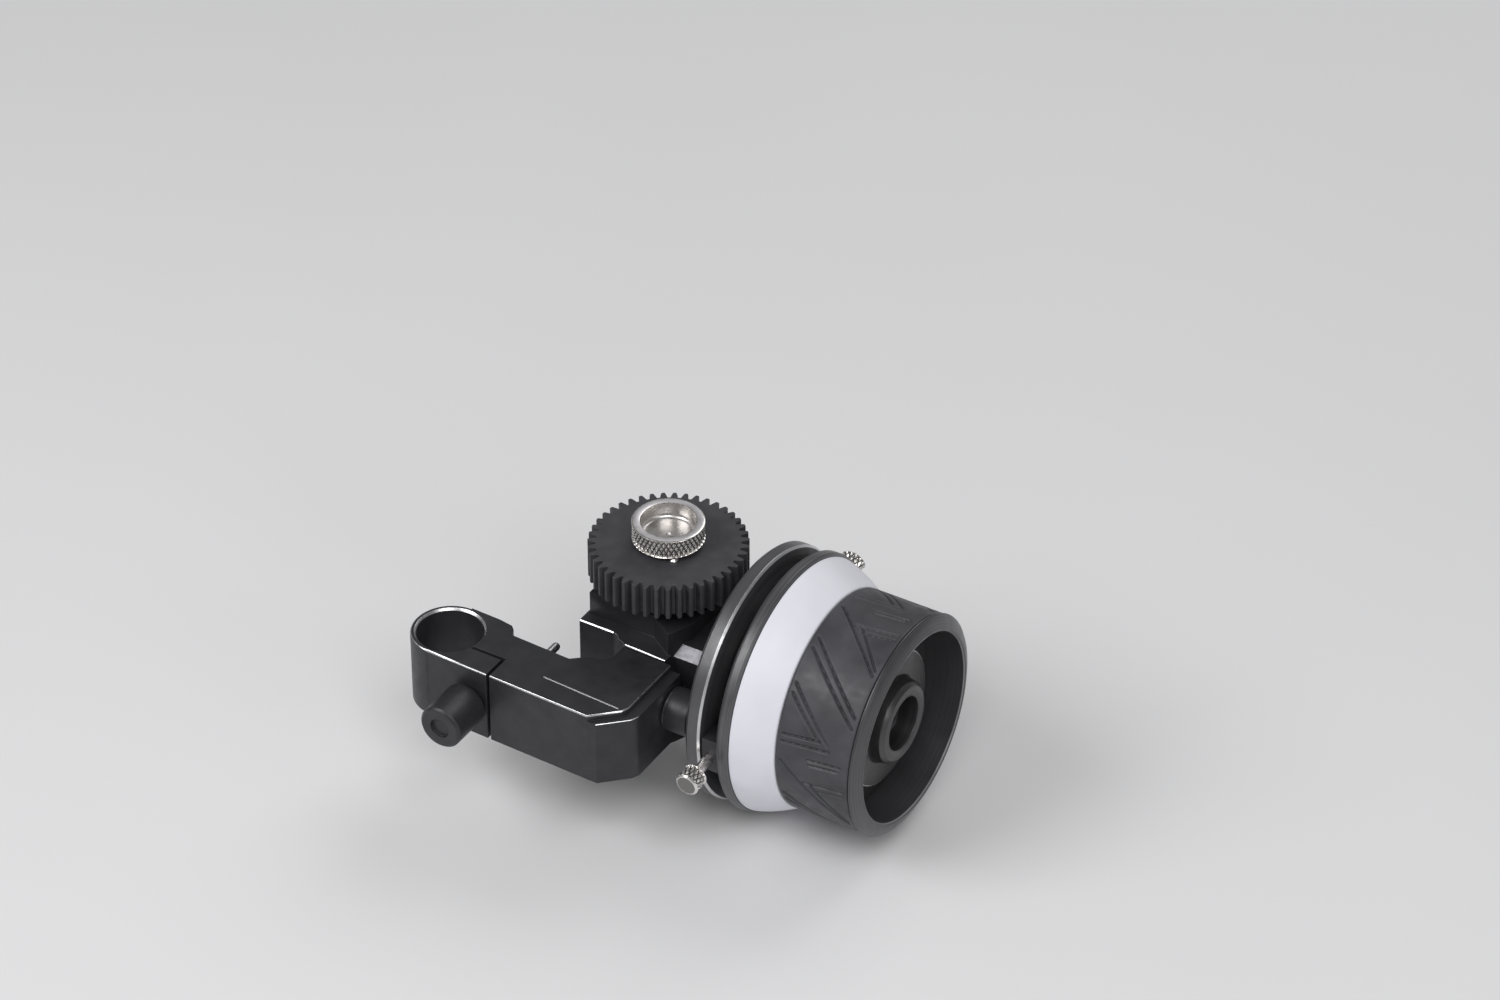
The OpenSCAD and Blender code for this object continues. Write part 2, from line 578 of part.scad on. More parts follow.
module end_cap() color([0.10, 0.10, 0.11]) on_wheel()
    turned([[mouth_r, boss_end + 0.05], [cup_wall_r, boss_end + 0.05], [cup_wall_r, cap_x], [cap_r, cap_x],
            [cap_r, cap_x + 0.3], [cap_r - 0.8, cap_x + 0.5 * cap_t], [cap_r - 2, cap_end - 0.4],
            [mouth_r + 0.6, cap_end], [mouth_r + 0.2, cap_end - 0.1], [mouth_r, cap_end - 0.4]]);

module hub_cover() color([0.10, 0.10, 0.11]) on_wheel()
    turned([[hub_screw_r + 0.3, boss_end + 0.05], [mouth_r - seat_play, boss_end + 0.05],
            [mouth_r - seat_play, cap_floor], [cap_step_r, cap_floor], [cap_step_r, cap_step - 0.3],
            [cap_step_r - 0.3, cap_step], [cap_boss_r + 0.4, cap_step], [cap_boss_r, cap_step + 0.6],
            [cap_boss_r - 0.3, cap_boss_end - 1.2], [cap_boss_r - 1.2, cap_boss_end - 0.3],
            [cap_recess_r + 1.2, cap_boss_end], [cap_recess_r, cap_boss_end - 0.5],
            [cap_recess_r, hub_seat], [hub_screw_r + 0.3, hub_seat]]);

module hub_screw() color([0.35, 0.35, 0.37]) on_wheel() difference() {
    turned([[0, boss_end - hub_screw_len], [hub_screw_r, boss_end - hub_screw_len],
        [hub_screw_r, hub_seat + 0.05],
            [hub_head_r, hub_seat + 0.05], [hub_head_r, hub_seat + hub_head_t - 0.4],
            [hub_head_r - 0.4, hub_seat + hub_head_t], [0, hub_seat + hub_head_t]]);
    translate([0, 0, hub_seat + 1]) cylinder(r = hub_head_r / 2, h = hub_head_t, $fn = 6);
}

// Drive ---------------------------------------------------------------------

module drive_shaft() color([0.70, 0.70, 0.72]) on_gear() difference() {
    turned([[0, -tower_top - 1], [drive_shaft_r, -tower_top - 1], [drive_shaft_r, gear_z - hub_disc_t],
            [hub_disc_r, gear_z - hub_disc_t], [hub_disc_r, gear_z], [gear_bore, gear_z],
            [gear_bore, gear_top - 0.8],
            [0, gear_top - 0.8]]);
    rod(stud_r + thread_play, gear_z, gear_top + cut);
    for (s = [-1, 1]) rotate([0, 0, gear_pin_angle]) translate([s * gear_pin_at, 0, 0])
        rod(gear_pin_r + seat_play, gear_z - hub_disc_t - cut, gear_z + cut);
}

module drive_bevel() color([0.66, 0.60, 0.42]) on_gear() rotate([0, 0, 180 / bevel_teeth])
    bevel_gear(tower_top + bearing_sink - drive_bearing_w - end_play - bevel_r);

module drive_collar() color([0.62, 0.62, 0.64]) on_gear()
    translate([0, 0, -tower_top - bearing_sink + drive_bearing_w + end_play])
        ring(drive_shaft_r + seat_play, collar_r, 0, collar_w);

function gear_outline(m, teeth) = let (p = 360 / teeth, r = m * teeth / 2)
    [for (i = [0 : teeth - 1], q = [[r - 1.25 * m, -0.36], [r - 0.3 * m, -0.28], [r + 0.5 * m, -0.2],
                                     [r + m, -0.14], [r + m, 0.14], [r + 0.5 * m, 0.2],
                                     [r - 0.3 * m, 0.28], [r - 1.25 * m, 0.36]])
        q[0] * [cos((i + q[1]) * p), sin((i + q[1]) * p)]];

module drive_gear() color([0.13, 0.13, 0.14]) on_gear() difference() {
    translate([0, 0, gear_z + seat_play]) linear_extrude(gear_t - seat_play)
        polygon(gear_outline(gear_module, gear_teeth));
    rod(gear_bore + seat_play, gear_z - cut, gear_top + cut);
    for (s = [-1, 1]) rotate([0, 0, gear_pin_angle]) translate([s * gear_pin_at, 0, 0])
        rod(gear_pin_r + seat_play, gear_z - cut, gear_top + cut);
}

module drive_pins() color([0.75, 0.75, 0.76]) on_gear()
    for (s = [-1, 1]) rotate([0, 0, gear_pin_angle]) translate([s * gear_pin_at, 0, 0])
        turned([[0, gear_z - hub_disc_t], [gear_pin_r, gear_z - hub_disc_t], [gear_pin_r, gear_top + 0.4],
                [0.6, gear_top + 0.8], [0, gear_top + 0.9]]);

module gear_knob() color([0.80, 0.78, 0.76]) on_gear() difference() {
    base = gear_top + cup_lift;
    inner = cup_r - cup_wall;
    turned(concat([[0, gear_top + 0.05], [4.2, gear_top + 0.05], [4.2, base], [cup_r - 0.5, base],
        [cup_r, base + 0.5],
                   [cup_r, base + cup_h - 0.3], [cup_r - 0.4, base + cup_h], [inner + 0.15, base + cup_h],
                   [inner, base + cup_h - 0.15]],
                  arc([inner - cup_bowl, base + cup_floor + cup_bowl], cup_bowl, 0, -90, 6),
                  [[0, base + cup_floor]]));
    rod(stud_r + seat_play, gear_top - cut, base + cup_floor - 0.3);
}

module knob_stud() color([0.62, 0.62, 0.64]) on_gear()
    rod(stud_r, gear_z + 0.5, gear_top + cup_lift + cup_floor - 0.35);

// Hard stops ----------------------------------------------------------------

module stop_block(at) color([0.08, 0.08, 0.09]) on_wheel() at_clock(at) difference() {
    rotate([0, 0, -stop_span / 2]) rotate_extrude(angle = stop_span)
        polygon([[stop_r[0], gap_x + 0.5], [stop_r[1], gap_x + 0.5], [stop_r[1], rim_x - block_play],
                 [track_r[1] - block_play, rim_x - block_play],
                 [track_r[1] - block_play, rim_x + track_depth - block_play],
                 [track_r[0] + block_play, rim_x + track_depth - block_play],
                 [track_r[0] + block_play, rim_x - block_play],
                 [stop_r[0], rim_x - block_play]]);
    translate([0, 0, stop_screw_x]) rotate([0, 90, 0])
        rod(stop_shank_r + thread_play, hub_r - cut, flange_r + cut);
}

module stop_screw(at, out) color([0.80, 0.78, 0.76]) on_wheel() at_clock(at)
    translate([0, 0, stop_screw_x]) rotate([0, 90, 0]) translate([0, 0, out])
        turned([[0, hub_r + 0.1], [stop_shank_r, hub_r + 0.1], [stop_shank_r, stop_head_from],
                [stop_head_r - 0.3, stop_head_from], [stop_head_r, stop_head_from + 0.3],
                [stop_head_r, stop_head_from + stop_head_len - 0.4],
                [stop_head_r - 0.4, stop_head_from + stop_head_len], [0, stop_head_from + stop_head_len]]);

module stop_block_a() stop_block(stop_a_at);
module stop_block_b() stop_block(stop_b_at);
module stop_screw_a() stop_screw(stop_a_at, stop_a_out);
module stop_screw_b() stop_screw(stop_b_at, stop_b_out);

clamp_arm();
limit_pin();
lock_pad();
clamp_knob();
clamp_stud();
lock_knob();
lock_stud();
gearbox_housing();
slide_tongue();
tongue_screws();
drive_cover_top();
drive_cover_bottom();
cover_screws();
drive_bearing_top();
drive_bearing_bottom();
wheel_bearing_inner();
wheel_bearing_outer();
index_flange();
flange_screws();
stop_pin();
wheel_shaft();
wheel_bevel();
wheel_hub();
index_rim();
marking_ring();
grip_sleeve();
rubber_grip();
end_cap();
hub_cover();
hub_screw();
drive_shaft();
drive_bevel();
drive_collar();
drive_gear();
drive_pins();
gear_knob();
knob_stud();
stop_block_a();
stop_screw_a();
stop_block_b();
stop_screw_b();
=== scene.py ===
"""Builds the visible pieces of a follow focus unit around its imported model, and a plain stage."""

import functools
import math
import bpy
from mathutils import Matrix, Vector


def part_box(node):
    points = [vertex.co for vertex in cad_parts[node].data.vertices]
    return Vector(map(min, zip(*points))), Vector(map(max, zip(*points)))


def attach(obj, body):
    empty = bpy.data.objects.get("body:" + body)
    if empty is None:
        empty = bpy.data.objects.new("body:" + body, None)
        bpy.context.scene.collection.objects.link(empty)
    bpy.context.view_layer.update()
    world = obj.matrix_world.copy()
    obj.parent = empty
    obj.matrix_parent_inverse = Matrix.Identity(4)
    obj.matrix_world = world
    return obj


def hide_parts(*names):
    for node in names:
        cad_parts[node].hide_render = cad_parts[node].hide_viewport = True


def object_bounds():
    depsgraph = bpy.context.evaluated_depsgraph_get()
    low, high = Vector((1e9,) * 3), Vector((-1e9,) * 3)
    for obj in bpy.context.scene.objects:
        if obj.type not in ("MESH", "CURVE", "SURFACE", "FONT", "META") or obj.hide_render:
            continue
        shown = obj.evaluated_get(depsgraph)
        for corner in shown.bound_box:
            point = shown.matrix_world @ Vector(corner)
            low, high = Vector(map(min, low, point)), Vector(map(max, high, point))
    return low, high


bl_info = {
    "name": "Follow Focus Unit",
    "version": (1, 0, 0),
    "blender": (4, 5, 0),
    "location": "View3D > Sidebar > Follow Focus",
    "description": "Builds the visible pieces of a rod-mounted follow focus unit and lights them",
    "category": "Object",
}

import bmesh
import bpy
from bpy.props import FloatProperty, FloatVectorProperty, IntProperty, PointerProperty
from mathutils import Matrix, Vector

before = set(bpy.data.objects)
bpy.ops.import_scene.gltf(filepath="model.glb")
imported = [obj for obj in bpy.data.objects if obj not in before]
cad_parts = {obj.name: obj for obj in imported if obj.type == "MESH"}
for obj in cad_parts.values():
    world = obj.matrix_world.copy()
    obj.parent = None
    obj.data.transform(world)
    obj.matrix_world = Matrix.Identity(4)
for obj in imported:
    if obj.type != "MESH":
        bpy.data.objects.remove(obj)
CAD_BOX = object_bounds()
MM = 0.001


# Places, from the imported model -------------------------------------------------


def middle(node):
    """Middle of a node's box, in metres."""
    low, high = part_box(node)
    return (low + high) / 2


def span(node, axis):
    """Lowest and highest place of a node along one axis, in millimetres."""
    low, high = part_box(node)
    return low[axis] / MM, high[axis] / MM


def radius(node, axis):
    """Half of a round node's width along one axis, in millimetres."""
    low, high = span(node, axis)
    return (high - low) / 2


WHEEL_Y = middle("index_rim").y / MM
GEAR_X = middle("drive_gear").x / MM
ARM_TOP = span("clamp_arm", 2)[1]
ARM_END = span("clamp_arm", 0)[1]
ARM_LEDGE = ARM_TOP - 1.5  # beside the arm's top plate
HOUSING_LEDGE = 9.5  # beside the housing's raised middle
ON_WHEEL = Matrix.Translation((0, WHEEL_Y * MM, 0)) @ Matrix.Rotation(math.pi / 2, 4, "Y")
ON_GEAR = Matrix.Translation((GEAR_X * MM, WHEEL_Y * MM, 0))


def on_lock():
    """Frame of the lock knob: its Z runs along the hand wheel's axis, from the knob's inner face."""
    place = middle("lock_knob")
    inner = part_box("lock_knob")[0].x
    return Matrix.Translation((inner, place.y, place.z)) @ Matrix.Rotation(math.pi / 2, 4, "Y")


# Settings that a user would change ----------------------------------------------


class FollowFocusSizes(bpy.types.PropertyGroup):
    turn_steps: IntProperty(
        name="Turning steps", description="Facets round a turned piece, a multiple of 4",
        default=192, min=48, max=360, step=4,
    )
    knurl_count: IntProperty(
        name="Knurl count", description="Diamonds round the gear knob", default=44, min=24, max=60,
    )
    knurl_depth: FloatProperty(
        name="Knurl depth", description="Depth of the gear knob's knurl",
        subtype="DISTANCE", precision=5, default=0.5 * MM, min=0.1 * MM, max=0.6 * MM,
    )
    knurl_stretch: FloatProperty(
        name="Knurl stretch", description="Height of a diamond against its width",
        default=1.74, min=0.8, max=2.0,
    )
    stop_knurl_count: IntProperty(
        name="Stop screw knurl", description="Diamonds round a stop screw's head",
        default=14, min=8, max=24,
    )
    stop_knurl_depth: FloatProperty(
        name="Stop screw knurl depth", description="Depth of a stop screw's knurl",
        subtype="DISTANCE", precision=5, default=0.42 * MM, min=0.1 * MM, max=0.5 * MM,
    )
    groove_width: FloatProperty(
        name="Groove width", description="Width of a groove in the rubber grip",
        subtype="DISTANCE", precision=5, default=1.0 * MM, min=0.3 * MM, max=1.5 * MM,
    )
    groove_depth: FloatProperty(
        name="Groove depth", description="Depth of a groove in the rubber grip",
        subtype="DISTANCE", precision=5, default=0.6 * MM, min=0.2 * MM, max=1.0 * MM,
    )
    tread_repeats: IntProperty(
        name="Tread repeats", description="How often the tread repeats round the grip",
        default=4, min=2, max=6,
    )


class FollowFocusColours(bpy.types.PropertyGroup):
    anodised: FloatVectorProperty(
        name="Anodised metal", description="Black anodised aluminium", subtype="COLOR", size=3,
        default=(0.022, 0.022, 0.026), min=0, max=1,
    )
    turned: FloatVectorProperty(
        name="Turned metal", description="Black anodised aluminium of the hand wheel",
        subtype="COLOR", size=3, default=(0.058, 0.058, 0.063), min=0, max=1,
    )
    polished: FloatVectorProperty(
        name="Polished edges", description="Bare aluminium of the cut edges", subtype="COLOR", size=3,
        default=(0.62, 0.62, 0.64), min=0, max=1,
    )
    gear: FloatVectorProperty(
        name="Gear plastic", description="Dark plastic of the drive gear", subtype="COLOR", size=3,
        default=(0.045, 0.045, 0.052), min=0, max=1,
    )
    nickel: FloatVectorProperty(
        name="Nickel", description="Bright nickel of the knurled screws", subtype="COLOR", size=3,
        default=(0.83, 0.80, 0.78), min=0, max=1,
    )
    ring: FloatVectorProperty(
        name="Marking ring", description="White plastic that can be written on", subtype="COLOR", size=3,
        default=(0.80, 0.80, 0.87), min=0, max=1,
    )
    rubber: FloatVectorProperty(
        name="Rubber", description="Moulded rubber of the grip", subtype="COLOR", size=3,
        default=(0.048, 0.048, 0.056), min=0, max=1,
    )
    floor: FloatVectorProperty(
        name="Floor", description="Pale floor", subtype="COLOR", size=3,
        default=(0.80, 0.80, 0.81), min=0, max=1,
    )


class FollowFocusStage(bpy.types.PropertyGroup):
    azimuth: FloatProperty(
        name="Azimuth", description="Camera's turn round the upright axis", subtype="ANGLE",
        default=math.radians(31.1),
    )
    elevation: FloatProperty(
        name="Elevation", description="Camera's height above the level", subtype="ANGLE",
        default=math.radians(36.7),
    )
    focal_length: FloatProperty(
        name="Focal length", description="In millimetres, on a 36 mm wide sensor", unit="CAMERA",
        default=134.4, min=20, max=300,
    )
    distance: FloatProperty(
        name="Distance", description="From the camera to the rod bore, along the view", subtype="DISTANCE",
        default=1.2444,
    )


# Materials -----------------------------------------------------------------------


def palette():
    return bpy.context.scene.follow_focus_colours


def shade(colour, factor):
    return tuple(min(1.0, c * factor) for c in colour)


def principled(material):
    return material.node_tree.nodes["Principled BSDF"]


def shader(name, colour, roughness, metallic=0.0):
    """A material with a Principled shader and Object coordinates."""
    material = bpy.data.materials.new(name)
    material.use_nodes = True
    surface = principled(material)
    surface.inputs["Base Color"].default_value = (*colour, 1)
    surface.inputs["Roughness"].default_value = roughness
    surface.inputs["Metallic"].default_value = metallic
    material.node_tree.nodes.new("ShaderNodeTexCoord").name = "place"
    return material


def place_on(material):
    """The socket that gives a point's place on the piece."""
    return material.node_tree.nodes["place"].outputs["Object"]


def noise_value(material, scale, detail, place=None):
    """A socket with noise from 0 to 1, over the place on the piece or another vector."""
    tree = material.node_tree
    texture = tree.nodes.new("ShaderNodeTexNoise")
    texture.inputs["Scale"].default_value = scale
    texture.inputs["Detail"].default_value = detail
    tree.links.new(place_on(material) if place is None else place, texture.inputs["Vector"])
    return texture.outputs["Fac"]


def mix_colour(material, value, dark, light, low=0.35, high=0.68):
    """Base colour from dark to light, as a value goes from low to high."""
    tree = material.node_tree
    ramp = tree.nodes.new("ShaderNodeValToRGB")
    for element, position, colour in zip(ramp.color_ramp.elements, (low, high), (dark, light)):
        element.position = position
        element.color = (*colour, 1)
    tree.links.new(value, ramp.inputs["Fac"])
    tree.links.new(ramp.outputs["Color"], principled(material).inputs["Base Color"])


def vary_colour(material, dark, light, scale, detail=4.0):
    """Mottles the base colour between two near shades."""
    mix_colour(material, noise_value(material, scale, detail), dark, light)


def vary_roughness(material, low, high, scale):
    """Lets the roughness wander between two values."""
    tree = material.node_tree
    spread = tree.nodes.new("ShaderNodeMapRange")
    for socket, value in (("From Min", 0.3), ("From Max", 0.7), ("To Min", low), ("To Max", high)):
        spread.inputs[socket].default_value = value
    tree.links.new(noise_value(material, scale, 3.0), spread.inputs["Value"])
    tree.links.new(spread.outputs["Result"], principled(material).inputs["Roughness"])


def add_bump(material, height, strength, depth_mm):
    """Bumps from a height socket; a second call adds to the first."""
    tree = material.node_tree
    normal = principled(material).inputs["Normal"]
    bump = tree.nodes.new("ShaderNodeBump")
    bump.inputs["Strength"].default_value = strength
    bump.inputs["Distance"].default_value = depth_mm * MM
    if normal.links:
        tree.links.new(normal.links[0].from_socket, bump.inputs["Normal"])
    tree.links.new(height, bump.inputs["Height"])
    tree.links.new(bump.outputs["Normal"], normal)


def add_grain(material, scale, strength, depth_mm):
    """Fine bumps all over."""
    add_bump(material, noise_value(material, scale, 2.0), strength, depth_mm)


def add_turning_marks(material, pitch_mm, strength):
    """Fine grooves left by a lathe, round the hand wheel's axis."""
    tree = material.node_tree
    mapping = tree.nodes.new("ShaderNodeMapping")
    mapping.inputs["Location"].default_value = (0, -WHEEL_Y * MM, 0)
    tree.links.new(place_on(material), mapping.inputs["Vector"])
    wave = tree.nodes.new("ShaderNodeTexWave")
    wave.wave_type = "RINGS"
    wave.rings_direction = "X"
    # the wave's angle grows by 20 times its scale in a metre
    wave.inputs["Scale"].default_value = 2 * math.pi / (20 * pitch_mm * MM)
    wave.inputs["Distortion"].default_value = 0.6
    wave.inputs["Detail"].default_value = 2.0
    tree.links.new(mapping.outputs["Vector"], wave.inputs["Vector"])
    add_bump(material, wave.outputs["Fac"], strength, 0.01)


def add_turned_streaks(material, dark, light):
    """Fine rings of two shades round the hand wheel's axis, on its faces and on its sides."""
    tree = material.node_tree
    split = tree.nodes.new("ShaderNodeSeparateXYZ")
    tree.links.new(place_on(material), split.inputs["Vector"])
    centred = tree.nodes.new("ShaderNodeMath")
    centred.operation = "SUBTRACT"
    centred.inputs[1].default_value = WHEEL_Y * MM
    tree.links.new(split.outputs["Y"], centred.inputs[0])
    across = tree.nodes.new("ShaderNodeCombineXYZ")
    tree.links.new(centred.outputs["Value"], across.inputs["X"])
    tree.links.new(split.outputs["Z"], across.inputs["Y"])
    reach = tree.nodes.new("ShaderNodeVectorMath")
    reach.operation = "LENGTH"
    tree.links.new(across.outputs["Vector"], reach.inputs[0])
    ring = tree.nodes.new("ShaderNodeCombineXYZ")
    tree.links.new(split.outputs["X"], ring.inputs["X"])
    tree.links.new(reach.outputs["Value"], ring.inputs["Y"])
    streaks = noise_value(material, 2600, 3.0, ring.outputs["Vector"])
    mix_colour(material, streaks, dark, light, 0.36, 0.64)
    add_bump(material, streaks, 0.3, 0.012)


def anodised_metal(name):
    """Black anodised aluminium with a fine blasted surface."""
    black = palette().anodised
    material = shader(name, black, 0.42)
    vary_colour(material, shade(black, 0.85), shade(black, 1.25), 180)
    vary_roughness(material, 0.36, 0.5, 420)
    add_grain(material, 9000, 0.25, 0.02)
    return material


def turned_anodised(name, brightness=1.0):
    """Black anodised aluminium that came off a lathe."""
    black = shade(palette().turned, brightness)
    material = shader(name, black, 0.36)
    principled(material).inputs["Specular IOR Level"].default_value = 0.9
    add_turned_streaks(material, shade(black, 0.65), shade(black, 1.4))
    vary_roughness(material, 0.3, 0.42, 300)
    add_turning_marks(material, 0.25, 0.12)
    add_grain(material, 9000, 0.18, 0.02)
    return material


def polished_edge():
    """Bare aluminium of a diamond-cut edge."""
    material = shader("polished_edge", palette().polished, 0.3, metallic=1.0)
    vary_roughness(material, 0.24, 0.38, 900)
    add_grain(material, 4000, 0.1, 0.01)
    return material


def satin_metal(name, colour, roughness):
    """Fine-ground bare metal."""
    material = shader(name, colour, roughness, metallic=1.0)
    vary_roughness(material, roughness - 0.05, roughness + 0.07, 700)
    add_grain(material, 6000, 0.2, 0.015)
    return material


def turned_metal(name, colour, roughness=0.3):
    """Bare metal of shafts, studs, screws and bearings."""
    material = shader(name, colour, roughness, metallic=1.0)
    vary_roughness(material, roughness - 0.06, roughness + 0.08, 1500)
    add_grain(material, 3000, 0.15, 0.01)
    return material


def bright_steel(name):
    return turned_metal(name, (0.56, 0.56, 0.58))


def black_steel(name):
    return turned_metal(name, (0.09, 0.09, 0.10), 0.35)


def machined_brass():
    return turned_metal("machined_brass", (0.62, 0.47, 0.22))


def bright_nickel():
    """Plated finish of the knurled screws."""
    material = shader("bright_nickel", palette().nickel, 0.26, metallic=1.0)
    vary_roughness(material, 0.21, 0.34, 1200)
    add_grain(material, 5000, 0.12, 0.01)
    return material


def step_edge_glint():
    """Pale grey painted on an edge as a glint."""
    material = shader("step_edge_glint", (0.72, 0.72, 0.74), 0.4)
    vary_colour(material, (0.6, 0.6, 0.61), (0.8, 0.8, 0.82), 900)
    add_grain(material, 6000, 0.2, 0.02)
    return material


def engraved_line():
    """White filling of the engraved line."""
    material = shader("engraved_line", (0.82, 0.82, 0.84), 0.5)
    vary_colour(material, (0.74, 0.74, 0.76), (0.86, 0.86, 0.88), 3000)
    add_grain(material, 9000, 0.3, 0.02)
    return material


def gear_plastic():
    """Dull moulded plastic."""
    dark = palette().gear
    material = shader("gear_plastic", dark, 0.55)
    vary_colour(material, shade(dark, 0.85), shade(dark, 1.2), 260)
    vary_roughness(material, 0.48, 0.62, 700)
    add_grain(material, 5000, 0.35, 0.03)
    return material


def ring_plastic():
    """Satin white plastic."""
    white = palette().ring
    material = shader("ring_plastic", white, 0.5)
    vary_colour(material, shade(white, 0.97), shade(white, 1.02), 90)
    vary_roughness(material, 0.42, 0.56, 500)
    add_grain(material, 7000, 0.15, 0.015)
    return material


def grip_rubber():
    """Moulded rubber with a fine and a coarser grain."""
    dark = palette().rubber
    material = shader("grip_rubber", dark, 0.6)
    vary_colour(material, shade(dark, 0.8), shade(dark, 1.35), 120, detail=8.0)
    vary_roughness(material, 0.4, 0.6, 350)
    add_grain(material, 2500, 0.3, 0.03)
    add_grain(material, 9000, 0.3, 0.02)
    return material


# Shapes ---------------------------------------------------------------------------

# Widths of rounded edges
MILLED_EDGE = 0.09 * MM  # arm and housing
FLANGE_EDGE = 0.08 * MM
TURNED_EDGE = 0.1 * MM  # gearbox covers, drive gear, hub and rim
HANDLED_EDGE = 0.12 * MM  # clamp knob, stop blocks, end cap and hub cover
RING_EDGE = 0.25 * MM  # marking ring
LEDGE_FACET = 0.25 * MM  # the polished facets along the ledges are flat
MERGE_GAP = 0.004 * MM  # vertices of a CAD mesh that are nearer are one
KNURL_STEPS = 12  # facets round one diamond
KNURL_FADE = 0.15  # millimetres over which a knurl runs out at its ends


def finish_mesh(bm, name, materials, smooth_angle=38.0):
    """Turns a bmesh into an object with smooth faces and weighted normals."""
    mesh = bpy.data.meshes.new(name)
    bm.to_mesh(mesh)
    bm.free()
    for material in materials:
        mesh.materials.append(material)
    mesh.shade_smooth()
    mesh.set_sharp_from_angle(angle=math.radians(smooth_angle))
    obj = bpy.data.objects.new(name, mesh)
    bpy.context.scene.collection.objects.link(obj)
    normals = obj.modifiers.new("Even normals", "WEIGHTED_NORMAL")
    normals.keep_sharp = True
    return obj


def seat(obj, body, node):
    """The piece rides on a body and stands for its CAD node, which is hidden."""
    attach(obj, body)
    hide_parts(node)


def paint(node, material):
    """A CAD node whose shape is right keeps it and gets a material."""
    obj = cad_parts[node]
    obj.data.materials.clear()
    obj.data.materials.append(material)
    obj.data.shade_smooth()
    obj.data.set_sharp_from_angle(angle=math.radians(30))


def sharp_edges(bm, angle=28.0):
    return [e for e in bm.edges if len(e.link_faces) == 2 and e.calc_face_angle(0) > math.radians(angle)]


def bevel(bm, edges, width, segments=2, profile=0.5, clamp=True):
    """Rounds edges."""
    if edges:
        bmesh.ops.bevel(
            bm, geom=edges, offset=width, segments=segments, profile=profile,
            affect="EDGES", material=-1, clamp_overlap=clamp,
        )


def cut_facet(bm, edges, width):
    """Cuts a flat facet along edges. A profile of 0.5 would fold a sliver at its end on the arm."""
    bevel(bm, edges, width, segments=1, profile=0.0)


def round_long_edges(bm, width):
    """Rounds the sharp edges of a milled body, and leaves the ones too near a short edge."""
    short = 2.2 * width
    cramped = {v for e in bm.edges if e.calc_length() < short for v in e.verts}
    bevel(bm, [e for e in sharp_edges(bm) if not cramped.intersection(e.verts)], width, clamp=False)


def is_level(face):
    return face.normal.z > 0.9


def is_upright(face):
    return abs(face.normal.z) < 0.1


def is_facet(face):
    """True for a flat chamfer at 45 degrees, false for the rounding beside it."""
    return 0.67 < face.normal.z < 0.74


def ledge_edges(bm, height, frontal, within=lambda point: True):
    """Sharp edges at a height, in millimetres, between a level face and a wall that looks forwards.

    frontal is how far the wall's normal points forwards at least, and within(point) keeps to a part.
    """
    return [
        e for e in sharp_edges(bm, 40)
        if all(abs(v.co.z / MM - height) < 0.02 and within(v.co / MM) for v in e.verts)
        and any(is_level(f) for f in e.link_faces)
        and any(is_upright(f) and f.normal.y < -frontal for f in e.link_faces)
    ]


def node_copy(node):
    """A merged copy of a CAD node's mesh, with its flat faces whole again."""
    bm = bmesh.new()
    bm.from_mesh(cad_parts[node].data)
    bmesh.ops.remove_doubles(bm, verts=bm.verts, dist=MERGE_GAP)
    bmesh.ops.dissolve_degenerate(bm, dist=MERGE_GAP / 2, edges=bm.edges)
    bmesh.ops.dissolve_limit(
        bm, angle_limit=math.radians(0.6), verts=bm.verts, edges=bm.edges, use_dissolve_boundaries=False,
    )
    return bm


def edged_node(node, body, material, width, extra=(), pick=None):
    """A copy of a CAD node with rounded edges; pick is as for paint_turned, on the hand wheel's axis."""
    bm = node_copy(node)
    if pick:
        paint_turned(bm, ON_WHEEL, pick)
    bevel(bm, sharp_edges(bm), width)
    seat(finish_mesh(bm, node + "_finished", [material, *extra]), body, node)


def steps_between(start, end, count):
    """Points from start to end, with the last left out."""
    return [tuple(a + (b - a) * i / count for a, b in zip(start, end)) for i in range(count)]


def turned(points, place, steps=None):
    """A turned solid: points are (radius, height) in millimetres, turned about Z and then placed.

    A quarter is spun and then doubled twice, because one long spin takes far more time.
    """
    steps = steps or bpy.context.scene.follow_focus_sizes.turn_steps
    bm = bmesh.new()
    verts = [bm.verts.new((r * MM, 0, h * MM)) for r, h in points]
    edges = [bm.edges.new(pair) for pair in zip(verts, verts[1:] + verts[:1])]
    bmesh.ops.spin(
        bm, geom=verts + edges, cent=(0, 0, 0), axis=(0, 0, 1), dvec=(0, 0, 0),
        angle=math.pi / 2, steps=round(steps / 4), use_merge=False, use_duplicate=False,
    )
    for turn in (math.pi / 2, math.pi):
        copied = bmesh.ops.duplicate(bm, geom=bm.verts[:] + bm.edges[:] + bm.faces[:])["geom"]
        bmesh.ops.rotate(
            bm, verts=[g for g in copied if isinstance(g, bmesh.types.BMVert)],
            cent=(0, 0, 0), matrix=Matrix.Rotation(turn, 3, "Z"),
        )
    bmesh.ops.remove_doubles(bm, verts=bm.verts, dist=0.001 * MM)
    bmesh.ops.recalc_face_normals(bm, faces=bm.faces)
    bmesh.ops.transform(bm, matrix=place, verts=bm.verts)
    return bm


def local_polar(place):
    """A function that gives a point's clock angle, radius and height in a placed turning frame."""
    inverse = place.inverted()

    def measure(co):
        local = inverse @ co
        return math.atan2(local.y, local.x), math.hypot(local.x, local.y) / MM, local.z / MM

    return measure


def paint_turned(bm, place, pick):
    """Gives each face the material that pick(face, radius, height) names by its index."""
    measure = local_polar(place)
    for face in bm.faces:
        _, r, height = measure(face.calc_center_median())
        face.material_index = pick(face, r, height)


